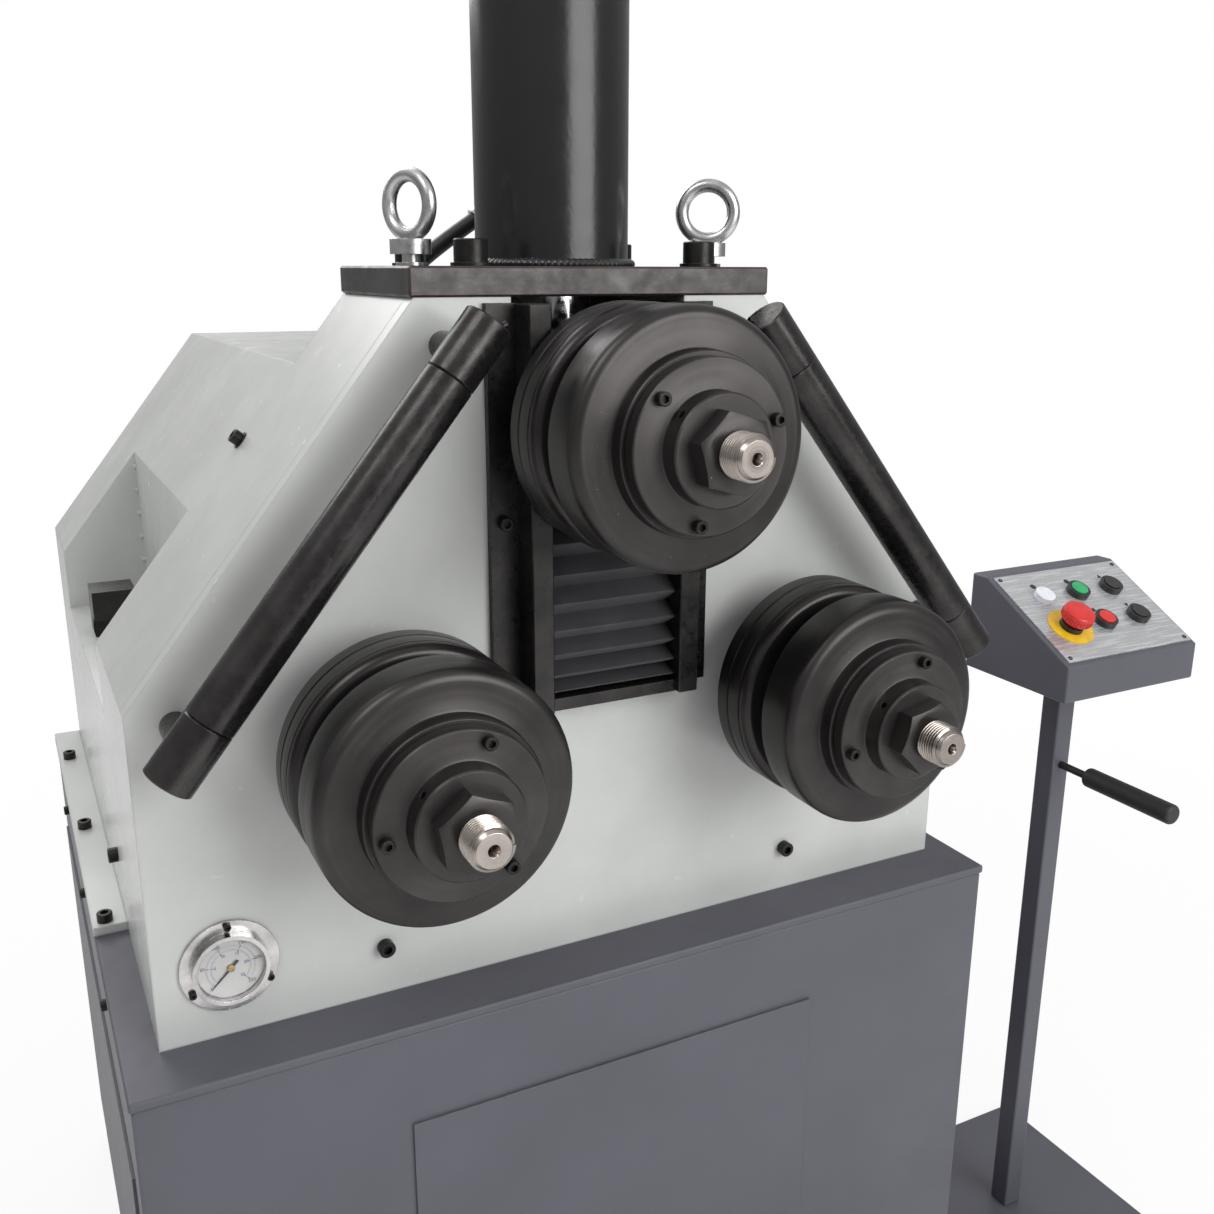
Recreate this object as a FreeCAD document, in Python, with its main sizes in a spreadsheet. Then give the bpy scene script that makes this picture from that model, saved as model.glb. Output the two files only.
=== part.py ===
import FreeCAD, Part
import Sketcher
import math
import os
import re

# Section rolling machine: a floor cabinet, a housing with three driven rolls on
# its front, the upper roll on a vertical slide pressed down by a cylinder, and a
# control console on its own post.
# Origin: on the floor, in the middle plane, under the face of the front plate.
# X runs to the right seen from the front, Y runs to the back, Z is up.

doc = FreeCAD.newDocument("section_rolling_machine")
sheet = doc.addObject("Spreadsheet::Sheet", "Sizes")


# Driving sizes in millimetres and degrees
SIZES = {
    # floor cabinet
    "cabinet_half_width": 472,
    "cabinet_front": 62,
    "cabinet_depth": 930,
    "cabinet_height": 690,
    "lid_thickness": 10,
    "lid_overhang": 2,
    "door_half_width": 229,
    "door_bottom": 110,
    "door_top": 594,
    "panel_thickness": 3,
    "side_panel_margin": 60,
    "cabinet_edge_round": 3,
    # housing on the cabinet
    "housing_half_width": 440,
    "housing_depth": 852,
    "shoulder_height": 318,
    "housing_height": 651.5,
    "crown_half_width": 177,
    "plate_thickness": 20,
    "crown_depth": 218,
    "rear_height": 584,
    "notch_front": 235,
    "notch_rear": 676,
    "notch_wall": 342,
    "notch_floor": 243,
    "foot_width": 34,
    "foot_thickness": 10,
    "rear_cover_thickness": 4,
    "rear_cover_margin": 70,
    # slide way in the front plate
    "slot_half_width": 88,
    "slot_bottom": 272,
    "bar_width": 21,
    "bar_front": 40,
    "strip_width": 27,
    "strip_thickness": 8,
    "bar_top_gap": 5,
    "bar_chamfer": 1,
    "sill_height": 12,
    "way_depth": 200,
    "slide_fit": 0.3,
    # upper head on the slide
    "head_half_height": 75,
    "head_depth": 180,
    "head_front": 4,
    "head_flange_width": 82,
    "head_drop": 113,
    "neck_radius": 58,
    "neck_front": 45,
    "lower_axis": 266,
    "lower_spread": 218,
    # rolls and their shafts
    "shaft_radius": 30,
    "shaft_fit": 0.08,
    "shaft_end_gap": 1,
    "thread_radius": 19,
    "shaft_tip": 262,
    "tip_chamfer": 3,
    "shaft_rear": 150,
    "roll_radius": 110.5,
    "rear_roll_back": 46,
    "rear_roll_front": 98,
    "disc_width": 17,
    "groove_width": 3,
    "groove_depth": 4,
    "spacer_radius": 48,
    "front_roll_back": 124,
    "front_roll_front": 170,
    "roll_edge_round": 10,
    "roll_back_round": 2,
    "roll_land_radius": 76,
    "roll_land_height": 15,
    "clamp_radius": 72,
    "clamp_thickness": 13,
    "clamp_chamfer": 1.5,
    "hub_radius": 46,
    "hub_front": 218,
    "nut_flats": 60,
    "nut_front": 237,
    "nut_chamfer": 2.7,
    "bearing_radius": 66,
    "bearing_front": 30,
    "spigot_radius": 50,
    "spigot_fit": 0.05,
    # cylinder on the crown
    "crown_plate_half": 181,
    "crown_plate_front": 2,
    "crown_plate_rear": 214,
    "crown_plate_thickness": 26,
    "crown_plate_chamfer": 2,
    "cylinder_centre": 106,
    "barrel_radius": 74,
    "barrel_wall": 11.5,
    "barrel_height": 400,
    "weld_width": 8,
    "end_cap_radius": 84,
    "end_cap_height": 46,
    "end_cap_chamfer": 3,
    "rod_radius": 35,
    "rod_fit": 0.08,
    "piston_height": 60,
    "piston_top_height": 360,
    "screw_head_radius": 15,
    "screw_head_height": 20,
    "screw_chamfer": 1,
    "screw_socket_flats": 17,
    "screw_socket_depth": 10,
    "screw_spread_x": 116,
    "screw_spread_y": 84,
    "washer_radius": 18,
    "washer_thickness": 3,
    "eye_spread": 154.5,
    "eye_forward": 36,
    "eye_shank_radius": 8,
    "eye_shank_height": 10,
    "eye_washer_radius": 14,
    "eye_collar_radius": 18.5,
    "eye_collar_height": 13,
    "eye_ring_radius": 25.5,
    "eye_bar_radius": 6.5,
    "eye_ring_sink": 3,
    "left_eye_turn": -65,
    "right_eye_turn": -32,
    # pressure hose from the barrel's rear to the rear deck
    "port_height": 62.5,
    "port_radius": 15,
    "port_reach": 70,
    "port_seat_gap": 0.3,
    "elbow_radius": 11.5,
    "ferrule_length": 28,
    "hose_radius": 8.5,
    "hose_port_angle": 32.6,
    "hose_deck_angle": 45,
    "deck_port_x": 145.4,
    "riser_height": 40.6,
    "deck_nut_flats": 30,
    "deck_nut_height": 12,
    # guide arms beside the rolls
    "arm_radius": 22.5,
    "arm_chamfer": 1.5,
    "arm_stand_off": 72,
    "arm_top_x": 142,
    "arm_top_drop": 17.5,
    "arm_low_x": 416,
    "arm_low_z": 289,
    "arm_end_length": 55,
    "arm_stud_radius": 13,
    # pressure gauge
    "gauge_x": 373.5,
    "gauge_z": 71.5,
    "gauge_flange_radius": 44,
    "gauge_flange_thickness": 4,
    "gauge_case_radius": 34,
    "gauge_case_front": 14,
    "gauge_dial_radius": 30,
    "gauge_dial_depth": 9,
    "gauge_glass_thickness": 2,
    "gauge_glass_fit": 0.05,
    "gauge_glass_setback": 0.5,
    # drive block in the left recess
    "block_width": 80,
    "block_front": 520,
    "block_depth": 55,
    "block_height": 55,
    # control console
    "console_x": 620,
    "console_y": -28,
    "console_z": 865,
    "console_width": 228,
    "console_depth": 172,
    "console_front_height": 47,
    "console_back_height": 128,
    "console_flat": 25,
    "console_edge_round": 3,
    "console_panel_margin": 6,
    "console_panel_thickness": 2,
    "post_size": 30,
    "post_edge_round": 3,
    "post_setback": 95,
    "foot_plate_size": 320,
    "foot_plate_thickness": 12,
    "handle_height": 729,
    "handle_rod_radius": 5,
    "handle_rod_length": 45,
    "grip_radius": 13,
    "grip_length": 135,
    "grip_round": 5,
    "button_pitch": 60,
    "button_low_row": 60,
    "button_high_row": 115,
    "bezel_radius": 15,
    "bezel_height": 8,
    "button_radius": 11,
    "button_fit": 0.3,
    "button_height": 9,
    "button_travel": 4,
    "button_stop_gap": 0.5,
    "lamp_radius": 13,
    "stop_ring_radius": 30,
    "stop_ring_thickness": 1.5,
    "stop_cap_radius": 20,
    "stop_cap_height": 16,
    "stop_cap_round": 4,
    "stop_stem_radius": 11,
    "stop_lift": 14,
}

# How far a cutter runs past the face that it cuts
OVERRUN = "5"

# Folds of the slide cover, and how much closer they lie at its foot
BELLOWS_FOLDS = 8
FOLD_SPREAD = 1.35

# Share of a run that the hose's bend at its end may take
BEND_SHARE = 0.45


def fill_sheet():
    for row, (alias, value) in enumerate(SIZES.items(), start=1):
        sheet.set(f"A{row}", alias.replace("_", " "))
        sheet.set(f"B{row}", str(value))
        sheet.setAlias(f"B{row}", alias)
    doc.recompute()


def cells(expression):
    """Write every size name of an expression as a cell of the sheet."""
    return re.sub(r"[a-z_]+", lambda word: "Sizes." + word[0] if word[0] in SIZES else word[0], expression)


def value_of(expression):
    return float(sheet.evalExpression(cells(expression)))


def bind(item, settings):
    for path, expression in settings.items():
        item.setExpression(path, cells(expression))
    return item


def place(item, x="0", y="0", z="0"):
    return bind(item, {"Placement.Base.x": x, "Placement.Base.y": y, "Placement.Base.z": z})


def box(name, x, y, z, length, width, height):
    item = doc.addObject("Part::Box", name)
    item.Label = name
    bind(item, {"Length": length, "Width": width, "Height": height})
    return place(item, x, y, z)


def round_bar(name, radius, length, x="0", y="0", z="0", along="Z"):
    item = doc.addObject("Part::Cylinder", name)
    item.Label = name
    bind(item, {"Radius": radius, "Height": length})
    if along == "Y":
        item.Placement.Rotation = FreeCAD.Rotation(FreeCAD.Vector(1, 0, 0), -90)
    return place(item, x, y, z)


def edged_box(name, x, y, z, length, width, height, kind, edge):
    """A block with all its edges rounded (Fillet) or broken (Chamfer)."""
    body = new_body(name)
    block = body.newObject("PartDesign::AdditiveBox", name + "_block")
    bind(block, {"Length": length, "Width": width, "Height": height})
    finish_edges(body, block, kind, edge)
    return place(body, x, y, z)


def finish_edges(body, feature, kind, edge):
    """Round or break every edge of a body's last feature."""
    doc.recompute()
    edges = body.newObject(f"PartDesign::{kind}", body.Name + "_edges")
    edges.Base = (feature, [""])
    edges.UseAllEdges = True
    bind(edges, {"Radius" if kind == "Fillet" else "Size": edge})


def hexagon(name, flats, length, along="Z"):
    item = doc.addObject("Part::Prism", name)
    item.Polygon = 6
    bind(item, {"Circumradius": f"{flats} / sqrt(3)", "Height": length})
    if along == "Y":
        item.Placement.Rotation = FreeCAD.Rotation(FreeCAD.Vector(1, 0, 0), 90)
    return item


def cut(name, base, *tools):
    tool = tools[0]
    if len(tools) > 1:
        tool = doc.addObject("Part::MultiFuse", name + "_tools")
        tool.Shapes = list(tools)
    item = doc.addObject("Part::Cut", name)
    item.Label = name
    item.Base = base
    item.Tool = tool
    return item


def fuse(name, *pieces):
    item = doc.addObject("Part::MultiFuse", name)
    item.Label = name
    item.Shapes = list(pieces)
    return item


def group(name, *pieces):
    """Like pieces that don't touch, kept together as one sub-part."""
    item = doc.addObject("Part::Compound", name)
    item.Label = name
    item.Links = list(pieces)
    return item


def new_body(name):
    body = doc.addObject("PartDesign::Body", name)
    body.Label = name
    return body


def outline(body, name, role, points):
    """A closed outline whose corners are all bound to the sheet."""
    sketch = body.newObject("Sketcher::SketchObject", name)
    plane = [item for item in body.Origin.OriginFeatures if item.Role == role][0]
    sketch.AttachmentSupport = (plane, [""])
    sketch.MapMode = "FlatFace"
    corners = [FreeCAD.Vector(value_of(x), value_of(y), 0) for x, y in points]
    count = len(corners)
    for i in range(count):
        sketch.addGeometry(Part.LineSegment(corners[i], corners[(i + 1) % count]), False)
    for i in range(count):
        sketch.addConstraint(Sketcher.Constraint("Coincident", i, 2, (i + 1) % count, 1))
    for i, (x, y) in enumerate(points):
        for kind, expression, number in (("DistanceX", x, corners[i].x), ("DistanceY", y, corners[i].y)):
            index = sketch.addConstraint(Sketcher.Constraint(kind, -1, 1, i, 1, number))
            sketch.setExpression(f"Constraints[{index}]", cells(expression))
    return sketch


def pad(body, sketch, length, backwards=True):
    feature = body.newObject("PartDesign::Pad", body.Name + "_pad")
    feature.Profile = sketch
    feature.Reversed = backwards
    return bind(feature, {"Length": length})


def turned(name, points):
    """A body turned about its own Y axis from (radius, y) corners."""
    body = new_body(name)
    sketch = outline(body, name + "_profile", "XY_Plane", points)
    feature = body.newObject("PartDesign::Revolution", name + "_turned")
    feature.Profile = sketch
    feature.ReferenceAxis = (sketch, ["V_Axis"])
    feature.Angle = 360
    return body


def round_edges(body, name, radius, wanted):
    """Round the circular edges whose radius and y are those wanted."""
    doc.recompute()
    base = body.Tip
    targets = [(value_of(r), value_of(y)) for r, y in wanted]
    names = []
    for i, edge in enumerate(base.Shape.Edges, start=1):
        if not isinstance(edge.Curve, Part.Circle):
            continue
        for r, y in targets:
            if abs(edge.Curve.Radius - r) < 0.01 and abs(edge.Curve.Center.y - y) < 0.01:
                names.append(f"Edge{i}")
    feature = body.newObject("PartDesign::Fillet", name)
    feature.Base = (base, names)
    return bind(feature, {"Radius": radius})


fill_sheet()
parts = []


# Floor cabinet: sheet metal case with a thick lid that the housing stands on
case = edged_box("base_cabinet", "0 - cabinet_half_width", "0 - cabinet_front", "0",
                 "2 * cabinet_half_width", "cabinet_depth", "cabinet_height",
                 "Fillet", "cabinet_edge_round")
lid = edged_box("base_lid", "0 - cabinet_half_width - lid_overhang",
                "0 - cabinet_front - lid_overhang", "cabinet_height",
                "2 * (cabinet_half_width + lid_overhang)", "cabinet_depth + 2 * lid_overhang",
                "lid_thickness", "Fillet", "cabinet_edge_round")
door = box("base_door", "0 - door_half_width", "0 - cabinet_front - panel_thickness", "door_bottom",
           "2 * door_half_width", "panel_thickness", "door_top - door_bottom")
side_panels = []
for side, start in (("left", "0 - cabinet_half_width - panel_thickness"), ("right", "cabinet_half_width")):
    side_panels.append(box(f"side_panel_{side}", start, "0 - cabinet_front + side_panel_margin",
                           "door_bottom", "panel_thickness",
                           "cabinet_depth - 2 * side_panel_margin", "cabinet_height - 2 * door_bottom"))
parts += [case, lid, door, group("side_panels", *side_panels)]

# Height of the lid's top, which the housing and all that it carries start from
DECK = "cabinet_height + lid_thickness"
UPPER_AXIS = f"{DECK} + housing_height - head_drop"


def housing_outline():
    return [
        ("0 - housing_half_width", DECK),
        ("housing_half_width", DECK),
        ("housing_half_width", f"{DECK} + shoulder_height"),
        ("crown_half_width", f"{DECK} + housing_height"),
        ("0 - crown_half_width", f"{DECK} + housing_height"),
        ("0 - housing_half_width", f"{DECK} + shoulder_height"),
    ]


# Front plate: thick plate with the slide slot and the two lower shaft holes
plate_body = new_body("plate_blank")
pad(plate_body, outline(plate_body, "plate_outline", "XZ_Plane", housing_outline()), "plate_thickness")
slot = box("plate_slot", "0 - slot_half_width", "0 - plate_thickness", f"{DECK} + slot_bottom",
           "2 * slot_half_width", "3 * plate_thickness", "housing_height")
shaft_holes = [round_bar(f"plate_hole_{side}", "spigot_radius", "3 * plate_thickness",
                         f"{sign} * lower_spread", "0 - plate_thickness", f"{DECK} + lower_axis", "Y")
               for side, sign in (("left", "-1"), ("right", "1"))]
front_plate = cut("front_plate", plate_body, slot, *shaft_holes)
parts.append(front_plate)

# Housing behind the plate: welded box with a lowered rear deck and a recess in each slope
shell_body = new_body("housing_blank")
pad(shell_body, outline(shell_body, "housing_outline", "XZ_Plane", housing_outline()),
    "housing_depth - plate_thickness")
place(shell_body, "0", "plate_thickness", "0")
rear_step = box("rear_step", "0 - housing_half_width", "crown_depth", f"{DECK} + rear_height",
                "2 * housing_half_width", "housing_depth", "housing_height")
recesses = []
for side, start in (("left", "0 - 2 * housing_half_width"), ("right", "notch_wall")):
    recesses.append(box(f"recess_{side}", start, "notch_front", f"{DECK} + notch_floor",
                        "2 * housing_half_width - notch_wall", "notch_rear - notch_front",
                        "housing_height"))
way = box("slide_way", "0 - slot_half_width", "0", f"{DECK} + slot_bottom",
          "2 * slot_half_width", "way_depth", "housing_height")
shaft_wells = [round_bar(f"shaft_well_{side}", "spigot_radius", "way_depth",
                         f"{sign} * lower_spread", "0", f"{DECK} + lower_axis", "Y")
               for side, sign in (("left", "-1"), ("right", "1"))]
housing = cut("housing_body", shell_body, rear_step, way, *recesses, *shaft_wells)
rear_cover = box("rear_cover", "rear_cover_margin - housing_half_width", "housing_depth",
                 f"{DECK} + rear_cover_margin", "2 * (housing_half_width - rear_cover_margin)",
                 "rear_cover_thickness", "notch_floor")
feet = [box(f"foot_flange_{side}", start, "notch_front", DECK, "foot_width",
            "housing_depth - notch_front", "foot_thickness")
        for side, start in (("left", "0 - housing_half_width - foot_width"), ("right", "housing_half_width"))]
parts += [housing, rear_cover, group("foot_flanges", *feet)]

# Slide way: two steel bars in the slot, a strip over each, a sill under the bellows
BAR_HEIGHT = "housing_height - slot_bottom - bar_top_gap"
bars = []
strips = []
for side, bar_x, strip_x in (("left", "0 - slot_half_width", "0 - slot_half_width - strip_width"),
                             ("right", "slot_half_width - bar_width", "slot_half_width")):
    bars.append(edged_box(f"guide_bar_{side}", bar_x, "0 - bar_front", f"{DECK} + slot_bottom",
                          "bar_width", "bar_front + plate_thickness", BAR_HEIGHT,
                          "Chamfer", "bar_chamfer"))
    strips.append(box(f"guide_strip_{side}", strip_x, "0 - strip_thickness", f"{DECK} + slot_bottom",
                      "strip_width", "strip_thickness", BAR_HEIGHT))
parts += [group("guide_bars", *bars), group("guide_strips", *strips)]
parts.append(box("slot_sill", "bar_width - slot_half_width", "0 - bar_front + strip_thickness",
                 f"{DECK} + slot_bottom", "2 * (slot_half_width - bar_width)",
                 "bar_front - strip_thickness + plate_thickness", "sill_height"))


def bellows():
    """Folded cover from the sill up to the head's neck, folds closer at the foot."""
    body = new_body("slide_bellows")
    low = f"({DECK} + slot_bottom + sill_height + slide_fit)"
    high = f"({UPPER_AXIS} - neck_radius - slide_fit)"
    front = []
    for i in range(2 * BELLOWS_FOLDS + 1):
        share = (i / (2 * BELLOWS_FOLDS)) ** FOLD_SPREAD
        depth = "0 - bar_front + strip_thickness" if i % 2 else "0 - strip_thickness"
        front.append((depth, f"{low} + ({high} - {low}) * {share:.4f}"))
    back = [("0", high), ("0", low)]
    pad_sketch = outline(body, "bellows_profile", "YZ_Plane", front + back)
    feature = pad(body, pad_sketch, "2 * (slot_half_width - bar_width - slide_fit)", False)
    feature.Midplane = True
    return body


parts.append(bellows())

# Head: tee-shaped block on the bars with a round neck that carries the upper shaft
HEAD_FOOT = f"{UPPER_AXIS} - head_half_height"
head_core = box("head_core", "bar_width + slide_fit - slot_half_width", "head_front",
                HEAD_FOOT, "2 * (slot_half_width - bar_width - slide_fit)",
                "head_depth - head_front", "2 * head_half_height")
head_flange = box("head_flange", "0 - head_flange_width", "plate_thickness + slide_fit", HEAD_FOOT,
                  "2 * head_flange_width", "head_depth - plate_thickness - slide_fit",
                  "2 * head_half_height")
head_neck = round_bar("head_neck", "neck_radius", f"neck_front + head_front + {OVERRUN}", "0",
                      "0 - neck_front", UPPER_AXIS, "Y")
head_bore = round_bar("head_bore", "shaft_radius + shaft_fit",
                      f"neck_front + {OVERRUN} + shaft_rear + shaft_end_gap", "0",
                      f"0 - neck_front - {OVERRUN}", UPPER_AXIS, "Y")
parts.append(cut("slide_head", fuse("head_blank", head_core, head_flange, head_neck), head_bore))

# Bearing housings of the lower shafts, seated in the front plate
for side, sign in (("left", "-1"), ("right", "1")):
    bearing = turned(f"bearing_{side}", [
        ("shaft_radius + shaft_fit", "0 - bearing_front"),
        ("bearing_radius", "0 - bearing_front"),
        ("bearing_radius", "0"),
        ("spigot_radius - spigot_fit", "0"),
        ("spigot_radius - spigot_fit", "way_depth"),
        ("shaft_radius + shaft_fit", "way_depth"),
    ])
    place(bearing, f"{sign} * lower_spread", "0", f"{DECK} + lower_axis")
    parts.append(bearing)


# Three roll sets: shaft, rear roll with spacer, front roll, clamp flange and nut
def roll_set(side, x, z):
    shaft = turned(f"{side}_shaft", [
        ("0", "0 - shaft_tip"),
        ("thread_radius - tip_chamfer", "0 - shaft_tip"),
        ("thread_radius", "0 - shaft_tip + tip_chamfer"),
        ("thread_radius", "0 - hub_front"),
        ("shaft_radius", "0 - hub_front"),
        ("shaft_radius", "shaft_rear"),
        ("0", "shaft_rear"),
    ])
    bore = "shaft_radius + shaft_fit / 2"
    grooves = []
    for count in (1, 2):
        groove_front = f"0 - rear_roll_back - {count} * (disc_width + groove_width)"
        grooves += [
            ("roll_radius", f"{groove_front} + groove_width"),
            ("roll_radius - groove_depth", f"{groove_front} + groove_width / 2"),
            ("roll_radius", groove_front),
        ]
    rear = turned(f"{side}_rear_roll", [
        (bore, "0 - rear_roll_back"),
        ("roll_radius", "0 - rear_roll_back"),
        *grooves,
        ("roll_radius", "0 - rear_roll_front"),
        (bore, "0 - rear_roll_front"),
    ])
    round_edges(rear, f"{side}_rear_roll_round", "roll_edge_round",
                [("roll_radius", "0 - rear_roll_front")])
    front = turned(f"{side}_front_roll", [
        (bore, "0 - front_roll_back"),
        ("roll_radius", "0 - front_roll_back"),
        ("roll_radius", "0 - front_roll_front"),
        ("roll_land_radius", "0 - front_roll_front"),
        ("roll_land_radius", "0 - front_roll_front - roll_land_height"),
        (bore, "0 - front_roll_front - roll_land_height"),
    ])
    round_edges(front, f"{side}_front_roll_round", "roll_edge_round",
                [("roll_radius", "0 - front_roll_front")])
    round_edges(front, f"{side}_front_roll_back_round", "roll_back_round",
                [("roll_radius", "0 - front_roll_back")])
    clamp_back = "0 - front_roll_front - roll_land_height"
    flange = turned(f"{side}_clamp_flange", [
        (bore, clamp_back),
        ("clamp_radius", clamp_back),
        ("clamp_radius", f"{clamp_back} - clamp_thickness + clamp_chamfer"),
        ("clamp_radius - clamp_chamfer", f"{clamp_back} - clamp_thickness"),
        ("hub_radius", f"{clamp_back} - clamp_thickness"),
        ("hub_radius", "0 - hub_front + clamp_chamfer"),
        ("hub_radius - clamp_chamfer", "0 - hub_front"),
        (bore, "0 - hub_front"),
    ])
    spacer = turned(f"{side}_spacer", [
        (bore, "0 - rear_roll_front"),
        ("spacer_radius", "0 - rear_roll_front"),
        ("spacer_radius", "0 - front_roll_back"),
        (bore, "0 - front_roll_back"),
    ])
    rings = group(f"{side}_clamp_rings", flange, spacer)
    blank = hexagon(f"{side}_nut_blank", "nut_flats", "nut_front - hub_front", "Y")
    place(blank, "0", "0 - hub_front", "0")
    turned_nut = turned(f"{side}_nut_round", [
        ("thread_radius + shaft_fit / 2", "0 - hub_front"),
        ("nut_flats / sqrt(3)", "0 - hub_front"),
        ("nut_flats / sqrt(3)", "0 - nut_front + nut_chamfer"),
        ("nut_flats / 2", "0 - nut_front"),
        ("thread_radius + shaft_fit / 2", "0 - nut_front"),
    ])
    nut = doc.addObject("Part::Common", f"{side}_lock_nut")
    nut.Label = f"{side}_lock_nut"
    nut.Base = blank
    nut.Tool = turned_nut
    pieces = [shaft, rear, front, rings, nut]
    for piece in pieces:
        place(piece, x, "0", z)
    return pieces


parts += roll_set("upper", "0", UPPER_AXIS)
parts += roll_set("left", "0 - lower_spread", f"{DECK} + lower_axis")
parts += roll_set("right", "lower_spread", f"{DECK} + lower_axis")

# Crown plate with the cylinder: barrel welded to the plate, screwed end cap, rod and piston
CROWN = f"{DECK} + housing_height"
CROWN_TOP = f"{CROWN} + crown_plate_thickness"
crown_blank = edged_box("crown_blank", "0 - crown_plate_half", "0 - crown_plate_front", CROWN,
                        "2 * crown_plate_half", "crown_plate_front + crown_plate_rear",
                        "crown_plate_thickness", "Chamfer", "crown_plate_chamfer")
crown_hole = round_bar("crown_hole", "rod_radius + rod_fit", "3 * crown_plate_thickness", "0",
                       "cylinder_centre", f"{CROWN} - crown_plate_thickness")
parts.append(cut("crown_plate", crown_blank, crown_hole))


def upright(name, points, x, y, z):
    """A body turned about a standing axis from (radius, height) corners."""
    body = turned(name, points)
    body.Placement.Rotation = FreeCAD.Rotation(FreeCAD.Vector(1, 0, 0), 90)
    return place(body, x, y, z)


parts.append(upright("cylinder_barrel", [
    ("barrel_radius - barrel_wall", "0"),
    ("barrel_radius + weld_width", "0"),
    ("barrel_radius", "weld_width"),
    ("barrel_radius", "barrel_height"),
    ("barrel_radius - barrel_wall", "barrel_height"),
], "0", "cylinder_centre", CROWN_TOP))
parts.append(upright("cylinder_cap", [
    ("0", "0"),
    ("end_cap_radius", "0"),
    ("end_cap_radius", "end_cap_height - end_cap_chamfer"),
    ("end_cap_radius - end_cap_chamfer", "end_cap_height"),
    ("0", "end_cap_height"),
], "0", "cylinder_centre", f"{CROWN_TOP} + barrel_height"))
rod_foot = f"({UPPER_AXIS} + head_half_height)"
piston_foot = f"({CROWN_TOP} + piston_top_height - piston_height - {rod_foot})"
parts.append(upright("piston_rod", [
    ("0", "0"),
    ("rod_radius", "0"),
    ("rod_radius", piston_foot),
    ("barrel_radius - barrel_wall - rod_fit", piston_foot),
    ("barrel_radius - barrel_wall - rod_fit", f"{piston_foot} + piston_height"),
    ("0", f"{piston_foot} + piston_height"),
], "0", "cylinder_centre", rod_foot))

# Socket screws with washers that hold the crown plate
screws = []
screw_top = "(washer_thickness + screw_head_height)"
for i, (sx, sy) in enumerate(((-1, -1), (1, -1), (-1, 1), (1, 1)), start=1):
    seat = (f"{sx} * screw_spread_x", f"cylinder_centre + {sy} * screw_spread_y")
    head = upright(f"crown_screw_{i}", [
        ("0", "0"),
        ("washer_radius", "0"),
        ("washer_radius", "washer_thickness"),
        ("screw_head_radius", "washer_thickness"),
        ("screw_head_radius", f"{screw_top} - screw_chamfer"),
        ("screw_head_radius - screw_chamfer", screw_top),
        ("0", screw_top),
    ], *seat, CROWN_TOP)
    socket = hexagon(f"crown_socket_{i}", "screw_socket_flats", "2 * screw_socket_depth")
    place(socket, *seat, f"{CROWN_TOP} + {screw_top} - screw_socket_depth")
    screws.append(cut(f"crown_fixing_{i}", head, socket))
parts.append(group("crown_screws", *screws))

# Lifting eyes: shank, collar and ring, each ring turned to where it came tight
eyes = []
for side, sign in (("left", "-1"), ("right", "1")):
    seat = (f"{sign} * eye_spread", "cylinder_centre - eye_forward")
    collar = upright(f"eye_collar_{side}", [
        ("0", "0"),
        ("eye_washer_radius", "0"),
        ("eye_washer_radius", "washer_thickness"),
        ("eye_shank_radius", "washer_thickness"),
        ("eye_shank_radius", "eye_shank_height"),
        ("eye_collar_radius", "eye_shank_height"),
        ("eye_collar_radius", "eye_shank_height + eye_collar_height"),
        ("0", "eye_shank_height + eye_collar_height"),
    ], *seat, CROWN_TOP)
    ring = doc.addObject("Part::Torus", f"eye_ring_{side}")
    about_post = FreeCAD.Rotation(FreeCAD.Vector(0, 0, 1), value_of(f"{side}_eye_turn"))
    ring.Placement.Rotation = about_post * FreeCAD.Rotation(FreeCAD.Vector(1, 0, 0), 90)
    bind(ring, {"Radius1": "eye_ring_radius", "Radius2": "eye_bar_radius"})
    place(ring, *seat, f"{CROWN_TOP} + eye_shank_height + eye_collar_height + eye_ring_radius"
                       " + eye_bar_radius - eye_ring_sink")
    eyes.append(fuse(f"lifting_eye_{side}", collar, ring))
parts.append(group("lifting_eyes", *eyes))


# Pressure hose: port block on the barrel, hose, and the elbow on the rear deck
def slanted_bar(name, radius, span, start, drop):
    """A bar from start, leaning down to the left by drop degrees."""
    item = doc.addObject("Part::Cylinder", name)
    item.Placement.Rotation = FreeCAD.Rotation(FreeCAD.Vector(0, 1, 0), -90 - value_of(drop))
    bind(item, {"Radius": radius, "Height": span})
    return place(item, *start)


def ball(name, radius, centre):
    item = doc.addObject("Part::Sphere", name)
    bind(item, {"Radius": radius})
    return place(item, *centre)


def hose_tube(name, points, radius):
    """A tube along straight runs joined by tangent arcs as large as the runs allow."""
    edges = []
    start = points[0]
    for before, corner, after in zip(points, points[1:], points[2:]):
        back = FreeCAD.Vector(before - corner).normalize()
        onward = FreeCAD.Vector(after - corner).normalize()
        half_turn = (math.pi - back.getAngle(onward)) / 2
        reach = BEND_SHARE * min((before - corner).Length, (after - corner).Length)
        bend = reach / math.tan(half_turn)
        inward = (back + onward).normalize() * (bend / math.cos(half_turn) - bend)
        edges.append(Part.LineSegment(start, corner + back * reach).toShape())
        edges.append(Part.Arc(corner + back * reach, corner + inward, corner + onward * reach).toShape())
        start = corner + onward * reach
        print(name, "bend radius", round(bend))
    edges.append(Part.LineSegment(start, points[-1]).toShape())
    section = Part.Wire(Part.Circle(points[0], points[1] - points[0], radius).toShape())
    item = doc.addObject("Part::Feature", name)
    item.Label = name
    item.Shape = Part.Wire(edges).makePipeShell([section], True, True)
    length = sum(edge.Length for edge in edges)
    print(name, "length", round(length, 1), "volume share",
          round(item.Shape.Volume / (math.pi * radius * radius * length), 4))
    return item


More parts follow.
